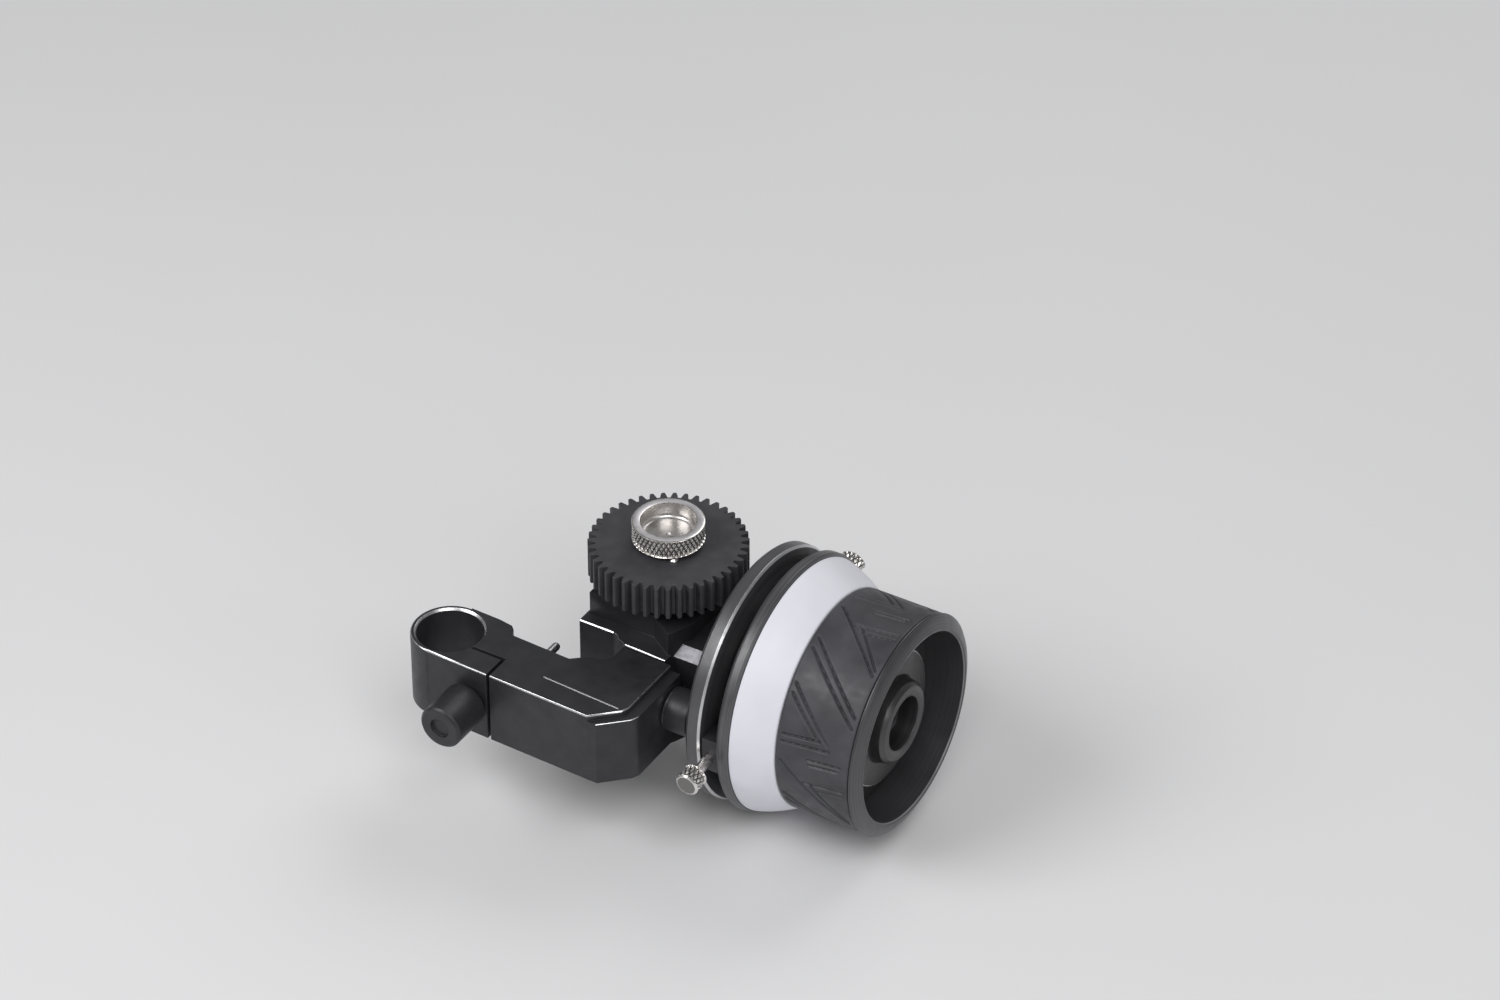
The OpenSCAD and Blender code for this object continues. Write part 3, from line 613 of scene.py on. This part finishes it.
def push_in(bm, place, depth_at):
    """Moves points towards the axis by depth_at(angle, radius, height), in millimetres."""
    measure = local_polar(place)
    axis_point = place.translation
    axis = (place.to_3x3() @ Vector((0, 0, 1))).normalized()
    for vert in bm.verts:
        angle, r, height = measure(vert.co)
        depth = depth_at(angle, r, height)
        if depth:
            foot = axis_point + axis * (vert.co - axis_point).dot(axis)
            vert.co = vert.co + (foot - vert.co).normalized() * depth * MM


def zigzag(value):
    """0 at whole numbers, 1 halfway between them."""
    return 1 - abs(2 * (value % 1) - 1)


def knurl(bm, place, outer, low, high, count, depth):
    """Presses a diamond pattern into a turned piece between two heights, all in millimetres."""
    stretch = bpy.context.scene.follow_focus_sizes.knurl_stretch
    rise_per_mm = count / (2 * math.pi * outer) / stretch

    def depth_at(angle, r, height):
        if r < outer - 0.05 or not low <= height <= high:
            return 0
        turn = count * angle / (2 * math.pi)
        rise = (height - low) * rise_per_mm
        ridge = min(zigzag(turn + rise), zigzag(turn - rise))
        fade = min(1, (height - low) / KNURL_FADE, (high - height) / KNURL_FADE)
        return depth * (1 - ridge) * fade

    push_in(bm, place, depth_at)


def in_groove(r, outer, depth):
    """True for the bottoms of a knurl's grooves, which are painted dark as shade."""
    return outer - 1 < r < outer - 0.75 * depth


# Operators ------------------------------------------------------------------------


class FollowFocusOperator:
    bl_options = {"REGISTER", "UNDO"}

    @property
    def sizes(self):
        return bpy.context.scene.follow_focus_sizes


class FOLLOWFOCUS_OT_arm(FollowFocusOperator, bpy.types.Operator):
    """Clamp arm with polished edges and its engraved line"""

    bl_idname = "follow_focus.arm"
    bl_label = "Clamp arm"

    corner_x = 43  # the ledge is polished from here to the arm's end
    line_x = 26  # the engraved line begins just past this
    line_y = -6  # and lies behind this
    line_depth = 0.3
    line_wall_area = 12  # in square millimetres, more than any wall of the line has

    def execute(self, context):
        bm = node_copy("clamp_arm")
        corner = ledge_edges(bm, ARM_LEDGE, 0.3, lambda point: point.x > self.corner_x and point.y < 0)
        cut_facet(bm, corner, LEDGE_FACET)
        round_long_edges(bm, MILLED_EDGE)
        for face in bm.faces:
            face.material_index = self.pick(face)
        materials = [anodised_metal("anodised_arm"), polished_edge(), engraved_line()]
        seat(finish_mesh(bm, "clamp_arm_finished", materials), "arm", "clamp_arm")
        paint("limit_pin", bright_steel("pin_steel"))
        paint("lock_pad", machined_brass())
        return {"FINISHED"}

    def pick(self, face):
        """0 for bare metal, 1 for polished facets, 2 for the engraved line."""
        centre = face.calc_center_median() / MM
        on_corner = abs(centre.z - ARM_LEDGE) < 0.25 and centre.x > self.corner_x and centre.y < 0
        if is_facet(face) and (centre.z > ARM_TOP - 1 or on_corner):
            return 1
        line_floor = ARM_TOP - self.line_depth
        if is_level(face) and abs(centre.z - line_floor) < 0.05:
            return 2
        in_line = line_floor - 0.05 < centre.z < ARM_TOP and centre.x > self.line_x and centre.y > self.line_y
        if in_line and is_upright(face) and face.calc_area() < self.line_wall_area * MM * MM:
            return 2
        return 0


class FOLLOWFOCUS_OT_thumb_screws(FollowFocusOperator, bpy.types.Operator):
    """Clamp knob and lock knob with their studs"""

    bl_idname = "follow_focus.thumb_screws"
    bl_label = "Thumb screws"

    def execute(self, context):
        metal = anodised_metal("knob_metal")
        edged_node("clamp_knob", "clamp_screw", metal, HANDLED_EDGE)
        self.add_lock_knob(metal)
        steel = bright_steel("stud_steel")
        paint("clamp_stud", steel)
        paint("lock_stud", steel)
        return {"FINISHED"}

    def add_lock_knob(self, metal):
        """Smooth round knob with a polished shoulder at the arm's end."""
        start, end = span("lock_knob", 0)
        outer = radius("lock_knob", 2)
        length = end - start
        bore = 2.02
        shoulder = 0.7  # length of the polished rounding
        shoulder_depth = 0.6
        profile = [
            (bore, 0), (outer - shoulder_depth, 0), (outer - 0.42, 0.03), (outer - 0.2, 0.14),
            (outer - 0.06, 0.34), (outer, shoulder),
            (outer, length - 0.5), (outer - 0.15, length - 0.15), (outer - 0.5, length), (bore, length),
        ]

        def on_shoulder(face, r, height):
            return int(0.01 < height < shoulder and r > outer - shoulder_depth)

        bm = turned(profile, on_lock(), steps=96)
        paint_turned(bm, on_lock(), on_shoulder)
        obj = finish_mesh(bm, "lock_knob_finished", [metal, polished_edge()])
        seat(obj, "lock_screw", "lock_knob")


class FOLLOWFOCUS_OT_gearbox(FollowFocusOperator, bpy.types.Operator):
    """Gearbox housing, its covers and what is inside"""

    bl_idname = "follow_focus.gearbox"
    bl_label = "Gearbox"

    def execute(self, context):
        metal = anodised_metal("anodised_body")
        self.add_housing(metal)
        for node in ("drive_cover_top", "drive_cover_bottom", "slide_tongue"):
            edged_node(node, "gearbox", metal, TURNED_EDGE)
        screws = black_steel("black_screws")
        for node in ("cover_screws", "tongue_screws"):
            paint(node, screws)
        bearing_steel = turned_metal("bearing_steel", (0.6, 0.6, 0.62), 0.22)
        for shaft, ends in (("drive", ("top", "bottom")), ("wheel", ("inner", "outer"))):
            for end in ends:
                paint(f"{shaft}_bearing_{end}", bearing_steel)
        return {"FINISHED"}

    def add_housing(self, metal):
        """Housing with polished facets along its front ledge and satin ones on its neck."""
        neck_x = ARM_END - 2
        bm = node_copy("gearbox_housing")
        cut_facet(bm, ledge_edges(bm, HOUSING_LEDGE, 0.05), LEDGE_FACET)
        round_long_edges(bm, MILLED_EDGE)
        for face in bm.faces:
            centre = face.calc_center_median() / MM
            at_front = is_facet(face) and face.normal.y < 0
            if at_front and centre.x < neck_x and centre.z < HOUSING_LEDGE:
                face.material_index = 1
            elif at_front and face.normal.y < -0.6:
                face.material_index = 2
        neck_facet = satin_metal("satin_facet", (0.2, 0.2, 0.215), 0.45)
        obj = finish_mesh(bm, "gearbox_housing_finished", [metal, polished_edge(), neck_facet])
        seat(obj, "gearbox", "gearbox_housing")


class FOLLOWFOCUS_OT_flange(FollowFocusOperator, bpy.types.Operator):
    """Index flange with its screws and the pin that the hard stops meet"""

    bl_idname = "follow_focus.flange"
    bl_label = "Index flange"

    def execute(self, context):
        left, right = span("index_flange", 0)
        outer = radius("index_flange", 2)
        bore = 5.5
        back_chamfer = 0.8
        bright_chamfer = 0.5
        profile = [
            (bore, left), (outer - back_chamfer, left), (outer, left + back_chamfer),
            (outer, right - bright_chamfer), (outer - bright_chamfer, right), (bore, right),
        ]
        reach = bright_chamfer - 0.02

        def on_chamfer(face, r, height):
            return int(height > right - reach and r > outer - reach)

        bm = turned(profile, ON_WHEEL)
        paint_turned(bm, ON_WHEEL, on_chamfer)
        bevel(bm, sharp_edges(bm), FLANGE_EDGE)
        materials = [turned_anodised("flange_metal"), satin_metal("flange_edge", (0.66, 0.66, 0.67), 0.32)]
        seat(finish_mesh(bm, "index_flange_finished", materials), "gearbox", "index_flange")
        paint("flange_screws", black_steel("flange_screw_steel"))
        paint("stop_pin", bright_steel("stop_pin_steel"))
        return {"FINISHED"}


class FOLLOWFOCUS_OT_drive(FollowFocusOperator, bpy.types.Operator):
    """Toothed drive gear with its shaft, pins and bevel gears"""

    bl_idname = "follow_focus.drive"
    bl_label = "Drive"

    def execute(self, context):
        edged_node("drive_gear", "drive", gear_plastic(), TURNED_EDGE)
        steel = bright_steel("shaft_steel")
        for node in ("drive_shaft", "drive_collar", "wheel_shaft"):
            paint(node, steel)
        paint("drive_pins", bright_nickel())
        brass = machined_brass()
        paint("drive_bevel", brass)
        paint("wheel_bevel", brass)
        return {"FINISHED"}


class FOLLOWFOCUS_OT_gear_knob(FollowFocusOperator, bpy.types.Operator):
    """Knurled cup that holds the drive gear"""

    bl_idname = "follow_focus.gear_knob"
    bl_label = "Gear knob"

    def execute(self, context):
        low, high = span("gear_knob", 2)
        outer = radius("gear_knob", 0)
        stem_r = 4.2
        core_r = 0.6
        foot = low + 1.15  # top of the stem
        cup_r = outer - 1.9
        cup_floor = foot + 0.8
        bowl = 1.1  # round between the cup's wall and its floor
        knurl_from = foot + 0.08
        knurl_to = high - 0.2
        rows = 52
        profile = [(stem_r, low), (stem_r, foot), (outer - 0.4, foot)]
        profile += steps_between((outer, knurl_from), (outer, knurl_to), rows)
        profile += [
            (outer, knurl_to), (outer - 0.05, high - 0.12), (outer - 0.25, high - 0.02), (outer - 0.34, high),
            (cup_r + 0.2, high), (cup_r + 0.05, high - 0.06), (cup_r, high - 0.22),
        ]
        profile += [
            (cup_r - bowl * (1 - math.cos(a)), cup_floor + bowl * (1 - math.sin(a)))
            for a in (i * math.pi / 24 for i in range(13))
        ]
        profile += [(core_r, cup_floor), (core_r, low)]
        count = self.sizes.knurl_count
        depth = self.sizes.knurl_depth / MM
        bm = turned(profile, ON_GEAR, count * KNURL_STEPS)
        knurl(bm, ON_GEAR, outer, knurl_from, knurl_to, count, depth)

        def pick(face, r, height):
            if face.normal.z > 0.98 and height > high - 0.01:
                return 1
            # Groove bottoms get dark grey metal: painted shade.
            if in_groove(r, outer, depth) and foot < height < knurl_to - 0.1:
                return 2
            return 3 if r < cup_r + 0.02 and height > foot else 0

        paint_turned(bm, ON_GEAR, pick)
        materials = [
            bright_nickel(),
            satin_metal("ground_rim", (0.86, 0.84, 0.86), 0.42),
            satin_metal("knurl_groove_shade", (0.2, 0.19, 0.18), 0.5),
            satin_metal("cup_inside", (0.6, 0.58, 0.565), 0.3),
        ]
        obj = finish_mesh(bm, "gear_knob_finished", materials, smooth_angle=24)
        seat(obj, "gear_screw", "gear_knob")
        paint("knob_stud", bright_steel("knob_stud_steel"))
        return {"FINISHED"}


class FOLLOWFOCUS_OT_wheel(FollowFocusOperator, bpy.types.Operator):
    """Hub, rim and sleeve of the hand wheel"""

    bl_idname = "follow_focus.wheel"
    bl_label = "Hand wheel"

    def execute(self, context):
        metal = turned_anodised("rim_metal")
        for node in ("index_rim", "wheel_hub", "grip_sleeve"):
            edged_node(node, "hand_wheel", metal, TURNED_EDGE)
        return {"FINISHED"}


SLEEVE_PLAY = 0.02  # between the grip's metal sleeve and the pieces on it


class FOLLOWFOCUS_OT_marking_ring(FollowFocusOperator, bpy.types.Operator):
    """White conical ring for focus marks"""

    bl_idname = "follow_focus.marking_ring"
    bl_label = "Marking ring"

    def execute(self, context):
        left, right = span("marking_ring", 0)
        outer = radius("marking_ring", 2)
        foot = radius("rubber_grip", 2) + 0.1
        inner = radius("grip_sleeve", 2) + SLEEVE_PLAY
        fullness = 1.35  # 1 is a straight cone, more bulges
        steps = 24
        curve = [
            (foot + (outer - foot) * (1 - (i / steps) ** fullness), left + (right - left) * i / steps)
            for i in range(steps + 1)
        ]
        bm = turned([(inner, left), *curve, (inner, right)], ON_WHEEL)
        bevel(bm, sharp_edges(bm, 40), RING_EDGE, segments=3)
        obj = finish_mesh(bm, "marking_ring_finished", [ring_plastic()])
        seat(obj, "hand_wheel", "marking_ring")
        return {"FINISHED"}


# Grooves of the tread in one repeat: clock angle in degrees and millimetres from the grip's inner edge,
# at both ends of a groove. The long grooves run from TREAD_NEAR to TREAD_FAR.
TREAD_NEAR = 1.2
TREAD_FAR = 16.9
TREAD = (
    (88.0, TREAD_NEAR, 121.0, TREAD_FAR),
    (97.0, 8.4, 118.0, TREAD_FAR),
    (97.6, 7.0, 95.0, TREAD_FAR),
    (100.6, 9.6, 98.4, TREAD_FAR),
    (111.5, TREAD_NEAR, 143.5, TREAD_FAR),
    (117.5, TREAD_NEAR, 149.0, TREAD_FAR),
    (137.0, TREAD_NEAR, 161.2, 12.2),
    (142.2, TREAD_NEAR, 160.0, 9.4),
    (163.2, TREAD_NEAR, 160.6, 10.4),
    (167.2, TREAD_NEAR, 164.4, 12.8),
    (172.6, 8.0, 170.6, 16.0),
    (175.4, 8.4, 173.2, 15.6),
)


class FOLLOWFOCUS_OT_rubber_grip(FollowFocusOperator, bpy.types.Operator):
    """Rubber sleeve with a slanted tread"""

    bl_idname = "follow_focus.rubber_grip"
    bl_label = "Rubber grip"

    def execute(self, context):
        left, right = span("rubber_grip", 0)
        outer = radius("rubber_grip", 2)
        inner = radius("grip_sleeve", 2) + SLEEVE_PLAY
        steps = 900
        rows = 80
        edge = 0.35  # length of the rounded ends
        profile = [(inner, left), (outer - 0.6, left), (outer - 0.12, left + 0.14)]
        profile += steps_between((outer, left + edge), (outer, right - edge), rows)
        profile += [(outer, right - edge), (outer - 0.12, right - 0.14), (outer - 0.6, right), (inner, right)]
        bm = turned(profile, ON_WHEEL, steps)
        repeat = 360 / self.sizes.tread_repeats
        half = self.sizes.groove_width / MM / 2
        depth = self.sizes.groove_depth / MM
        per_degree = math.pi * outer / 180
        first = min(min(g[0], g[2]) for g in TREAD)

        @functools.cache
        def groove(clock, along):
            nearest = half
            for a0, x0, a1, x1 in TREAD:
                for shift in (-repeat, 0, repeat):
                    px = (clock + shift - a0) * per_degree
                    py = along - x0
                    dx = (a1 - a0) * per_degree
                    dy = x1 - x0
                    k = max(0.0, min(1.0, (px * dx + py * dy) / (dx * dx + dy * dy)))
                    nearest = min(nearest, math.hypot(px - k * dx, py - k * dy))
            return depth * (0.5 + 0.5 * math.cos(math.pi * nearest / half))

        def depth_at(angle, r, height):
            if r < outer - 0.02:
                return 0
            # the turning frame's angle runs a quarter turn ahead of the clock angle
            clock = (math.degrees(angle) - 90 - first) % repeat + first
            return groove(round(clock, 2), round(height - left, 2))

        push_in(bm, ON_WHEEL, depth_at)
        obj = finish_mesh(bm, "rubber_grip_finished", [grip_rubber()], smooth_angle=60)
        seat(obj, "hand_wheel", "rubber_grip")
        return {"FINISHED"}


class FOLLOWFOCUS_OT_end_cap(FollowFocusOperator, bpy.types.Operator):
    """Black cap with the hand wheel's deep mouth, and the cover on the mouth's floor"""

    bl_idname = "follow_focus.end_cap"
    bl_label = "End cap"

    mouth_r = 22.3
    step_r = 16  # rim of the step on the mouth's floor
    step_rise = 5.6  # its height over the cover's inner face
    highlight_depth = 0.45  # how far the painted highlights on the lip's and the step's edges reach in

    def execute(self, context):
        lip = span("end_cap", 0)[1]
        step = span("hub_cover", 0)[0] + self.step_rise

        # The lip's inner edge gets a lighter copy of the cap's metal: a painted highlight.
        def on_lip(face, r, height):
            return int(r < self.mouth_r + 0.62 and height > lip - self.highlight_depth and face.normal.x < 0.97)

        # The step's edge gets pale grey: a painted glint.
        def on_step(face, r, height):
            near = self.step_r - 0.4 < r < self.step_r + 0.2
            return int(near and height > step - self.highlight_depth and abs(face.normal.x) < 0.95)

        # The cap's and the cover's metal are darker copies of the wheel's turned metal: painted shade in and
        # round the mouth.
        for node, metal, edge_metal, pick in (
            ("end_cap", turned_anodised("cap_metal_shaded", 0.7), turned_anodised("lip_edge_highlight", 2.6), on_lip),
            ("hub_cover", turned_anodised("cover_metal_shaded", 0.4), step_edge_glint(), on_step),
        ):
            edged_node(node, "hand_wheel", metal, HANDLED_EDGE, (edge_metal,), pick)
        paint("hub_screw", black_steel("hub_screw_steel"))
        return {"FINISHED"}


class FOLLOWFOCUS_OT_hard_stops(FollowFocusOperator, bpy.types.Operator):
    """Stop blocks with their knurled screws"""

    bl_idname = "follow_focus.hard_stops"
    bl_label = "Hard stops"

    def execute(self, context):
        metal = anodised_metal("stop_metal")
        # The screws' end faces get darker metal than the nickel head, and the knurl's groove bottoms darker
        # still: both painted shade.
        screw_materials = [
            bright_nickel(),
            satin_metal("screw_end_shade", (0.24, 0.235, 0.23), 0.35),
            satin_metal("screw_groove_shade", (0.14, 0.13, 0.125), 0.5),
        ]
        for side in ("a", "b"):
            body = "stop_" + side
            edged_node("stop_block_" + side, body, metal, HANDLED_EDGE)
            self.add_screw("stop_screw_" + side, body + "_screw", screw_materials)
        return {"FINISHED"}

    def add_screw(self, node, body, materials):
        """Thin shank with a coarsely knurled head, along the CAD screw's own axis."""
        centre = middle(node)
        outwards = Vector((0, centre.y - WHEEL_Y * MM, centre.z)).normalized()
        turn = outwards.to_track_quat("Z", "X").to_matrix().to_4x4()
        place = Matrix.Translation((centre.x, WHEEL_Y * MM, 0)) @ turn
        measure = local_polar(place)
        points = [measure(vert.co)[1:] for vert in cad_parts[node].data.vertices]
        head_r = max(r for r, _ in points)
        head = [height for r, height in points if r > head_r - 0.5]
        low, high = min(head), max(head)
        inner = min(height for _, height in points)
        shank_r = max(r for r, height in points if height < low - 0.1)
        core_r = 0.05
        knurl_from = low + 0.3
        knurl_to = high - 0.4
        rows = 36
        profile = [(core_r, inner), (shank_r, inner), (shank_r, low)]
        profile += [(head_r - 0.3, low), (head_r, low + 0.25)]
        profile += steps_between((head_r, knurl_from), (head_r, knurl_to), rows)
        profile += [(head_r, knurl_to), (head_r - 0.35, high - 0.05), (head_r - 0.55, high), (core_r, high)]
        count = self.sizes.stop_knurl_count
        depth = self.sizes.stop_knurl_depth / MM
        bm = turned(profile, place, count * KNURL_STEPS)
        knurl(bm, place, head_r, knurl_from, knurl_to, count, depth)

        def pick(face, r, height):
            if height > high - 0.02:
                return 1
            return 2 if in_groove(r, head_r, depth) and knurl_from < height < knurl_to - 0.05 else 0

        paint_turned(bm, place, pick)
        obj = finish_mesh(bm, node + "_finished", materials, smooth_angle=24)
        seat(obj, body, node)


# Stage ----------------------------------------------------------------------------

FLOOR_HALF = 6  # metres from the floor's middle to its edge
FLOOR_GAP = 0.2 * MM  # under the object's lowest point
SENSOR_WIDTH = 36  # millimetres
# Name, place and width in metres, and power in watts. All lamps point at LAMP_TARGET.
LAMP_TARGET = Vector((0.045, 0.02, 0.0))
LAMPS = (
    ("key", (-0.45, -0.62, 0.76), 0.6, 5.4),
    ("front", (0.52, -0.5, 0.85), 0.6, 4.2),
    ("back", (0.15, 0.92, 0.88), 0.8, 3.6),
    ("side", (0.95, -0.25, 0.38), 0.3, 0.8),
)
# Place of the rod bore's upper rim in the photograph, in its 1500 by 1000 pixels
BORE_PIXEL = (450.2, 629.5)
FRAME_PIXELS = (1500, 1000)


class FOLLOWFOCUS_OT_stage(FollowFocusOperator, bpy.types.Operator):
    """Floor, lamps and the camera"""

    bl_idname = "follow_focus.stage"
    bl_label = "Stage"

    def execute(self, context):
        scene = context.scene
        scene.view_settings.view_transform = "Standard"
        add_floor(scene)
        add_lamps(scene)
        add_camera(scene)
        return {"FINISHED"}


def add_floor(scene):
    """Large level sheet of pale paper."""
    bm = bmesh.new()
    bmesh.ops.create_grid(bm, x_segments=1, y_segments=1, size=FLOOR_HALF)
    bmesh.ops.translate(bm, vec=(0, 0, CAD_BOX[0][2] - FLOOR_GAP), verts=bm.verts)
    mesh = bpy.data.meshes.new("floor")
    bm.to_mesh(mesh)
    bm.free()
    floor = bpy.data.objects.new("floor", mesh)
    scene.collection.objects.link(floor)
    pale = palette().floor
    material = shader("floor_paper", pale, 0.9)
    vary_colour(material, shade(pale, 0.99), shade(pale, 1.01), 6)
    mesh.materials.append(material)


def add_lamps(scene):
    """Four soft lamps and a dim white world."""
    for name, place, size, power in LAMPS:
        data = bpy.data.lights.new(name, "AREA")
        data.size = size
        data.energy = power
        lamp = bpy.data.objects.new(name, data)
        lamp.location = place
        lamp.rotation_euler = (LAMP_TARGET - Vector(place)).to_track_quat("-Z", "Y").to_euler()
        scene.collection.objects.link(lamp)
    world = bpy.data.worlds.new("studio")
    world.use_nodes = True
    background = world.node_tree.nodes["Background"]
    background.inputs["Color"].default_value = (1, 1, 1, 1)
    background.inputs["Strength"].default_value = 0.2
    scene.world = world


def add_camera(scene):
    """Camera at the photograph's angle, moved sideways until the rod bore lies where it does there."""
    stage = scene.follow_focus_stage
    a, e = stage.azimuth, stage.elevation
    right = Vector((math.cos(a), math.sin(a), 0))
    back = Vector((math.sin(a) * math.cos(e), -math.cos(a) * math.cos(e), math.sin(e)))
    up = back.cross(right)
    data = bpy.data.cameras.new("camera")
    data.lens = stage.focal_length
    data.sensor_width = SENSOR_WIDTH
    data.clip_end = 20
    pixels_per_metre = stage.focal_length / SENSOR_WIDTH * FRAME_PIXELS[0] / stage.distance
    across = (BORE_PIXEL[0] - FRAME_PIXELS[0] / 2) / pixels_per_metre
    down = (BORE_PIXEL[1] - FRAME_PIXELS[1] / 2) / pixels_per_metre
    camera = bpy.data.objects.new("camera", data)
    rim = Vector((0, 0, ARM_TOP * MM))
    camera.location = rim + back * stage.distance - right * across + up * down
    camera.rotation_euler = Matrix((right, up, back)).transposed().to_euler()
    scene.collection.objects.link(camera)
    scene.camera = camera


# Panel and start ------------------------------------------------------------------


class FOLLOWFOCUS_PT_panel(bpy.types.Panel):
    """Lists the pieces in building order, and the settings"""

    bl_label = "Follow Focus"
    bl_idname = "FOLLOWFOCUS_PT_panel"
    bl_space_type = "VIEW_3D"
    bl_region_type = "UI"
    bl_category = "Follow Focus"

    def draw(self, context):
        for operator in OPERATORS:
            self.layout.operator(operator.bl_idname)
        scene = context.scene
        for settings in (scene.follow_focus_sizes, scene.follow_focus_colours, scene.follow_focus_stage):
            for name in settings.__annotations__:
                self.layout.prop(settings, name)


OPERATORS = (
    FOLLOWFOCUS_OT_stage, FOLLOWFOCUS_OT_arm, FOLLOWFOCUS_OT_thumb_screws, FOLLOWFOCUS_OT_gearbox,
    FOLLOWFOCUS_OT_flange, FOLLOWFOCUS_OT_drive, FOLLOWFOCUS_OT_gear_knob, FOLLOWFOCUS_OT_wheel,
    FOLLOWFOCUS_OT_marking_ring, FOLLOWFOCUS_OT_rubber_grip, FOLLOWFOCUS_OT_end_cap,
    FOLLOWFOCUS_OT_hard_stops,
)
CLASSES = (FollowFocusSizes, FollowFocusColours, FollowFocusStage, *OPERATORS, FOLLOWFOCUS_PT_panel)


def register():
    for cls in CLASSES:
        bpy.utils.register_class(cls)
    bpy.types.Scene.follow_focus_sizes = PointerProperty(type=FollowFocusSizes)
    bpy.types.Scene.follow_focus_colours = PointerProperty(type=FollowFocusColours)
    bpy.types.Scene.follow_focus_stage = PointerProperty(type=FollowFocusStage)


def unregister():
    del bpy.types.Scene.follow_focus_stage
    del bpy.types.Scene.follow_focus_colours
    del bpy.types.Scene.follow_focus_sizes
    for cls in reversed(CLASSES):
        bpy.utils.unregister_class(cls)


def main():
    register()
    bpy.ops.follow_focus.stage()
    bpy.ops.follow_focus.arm()
    bpy.ops.follow_focus.thumb_screws()
    bpy.ops.follow_focus.gearbox()
    bpy.ops.follow_focus.flange()
    bpy.ops.follow_focus.drive()
    bpy.ops.follow_focus.gear_knob()
    bpy.ops.follow_focus.wheel()
    bpy.ops.follow_focus.marking_ring()
    bpy.ops.follow_focus.rubber_grip()
    bpy.ops.follow_focus.end_cap()
    bpy.ops.follow_focus.hard_stops()


if __name__ == "__main__":
    main()
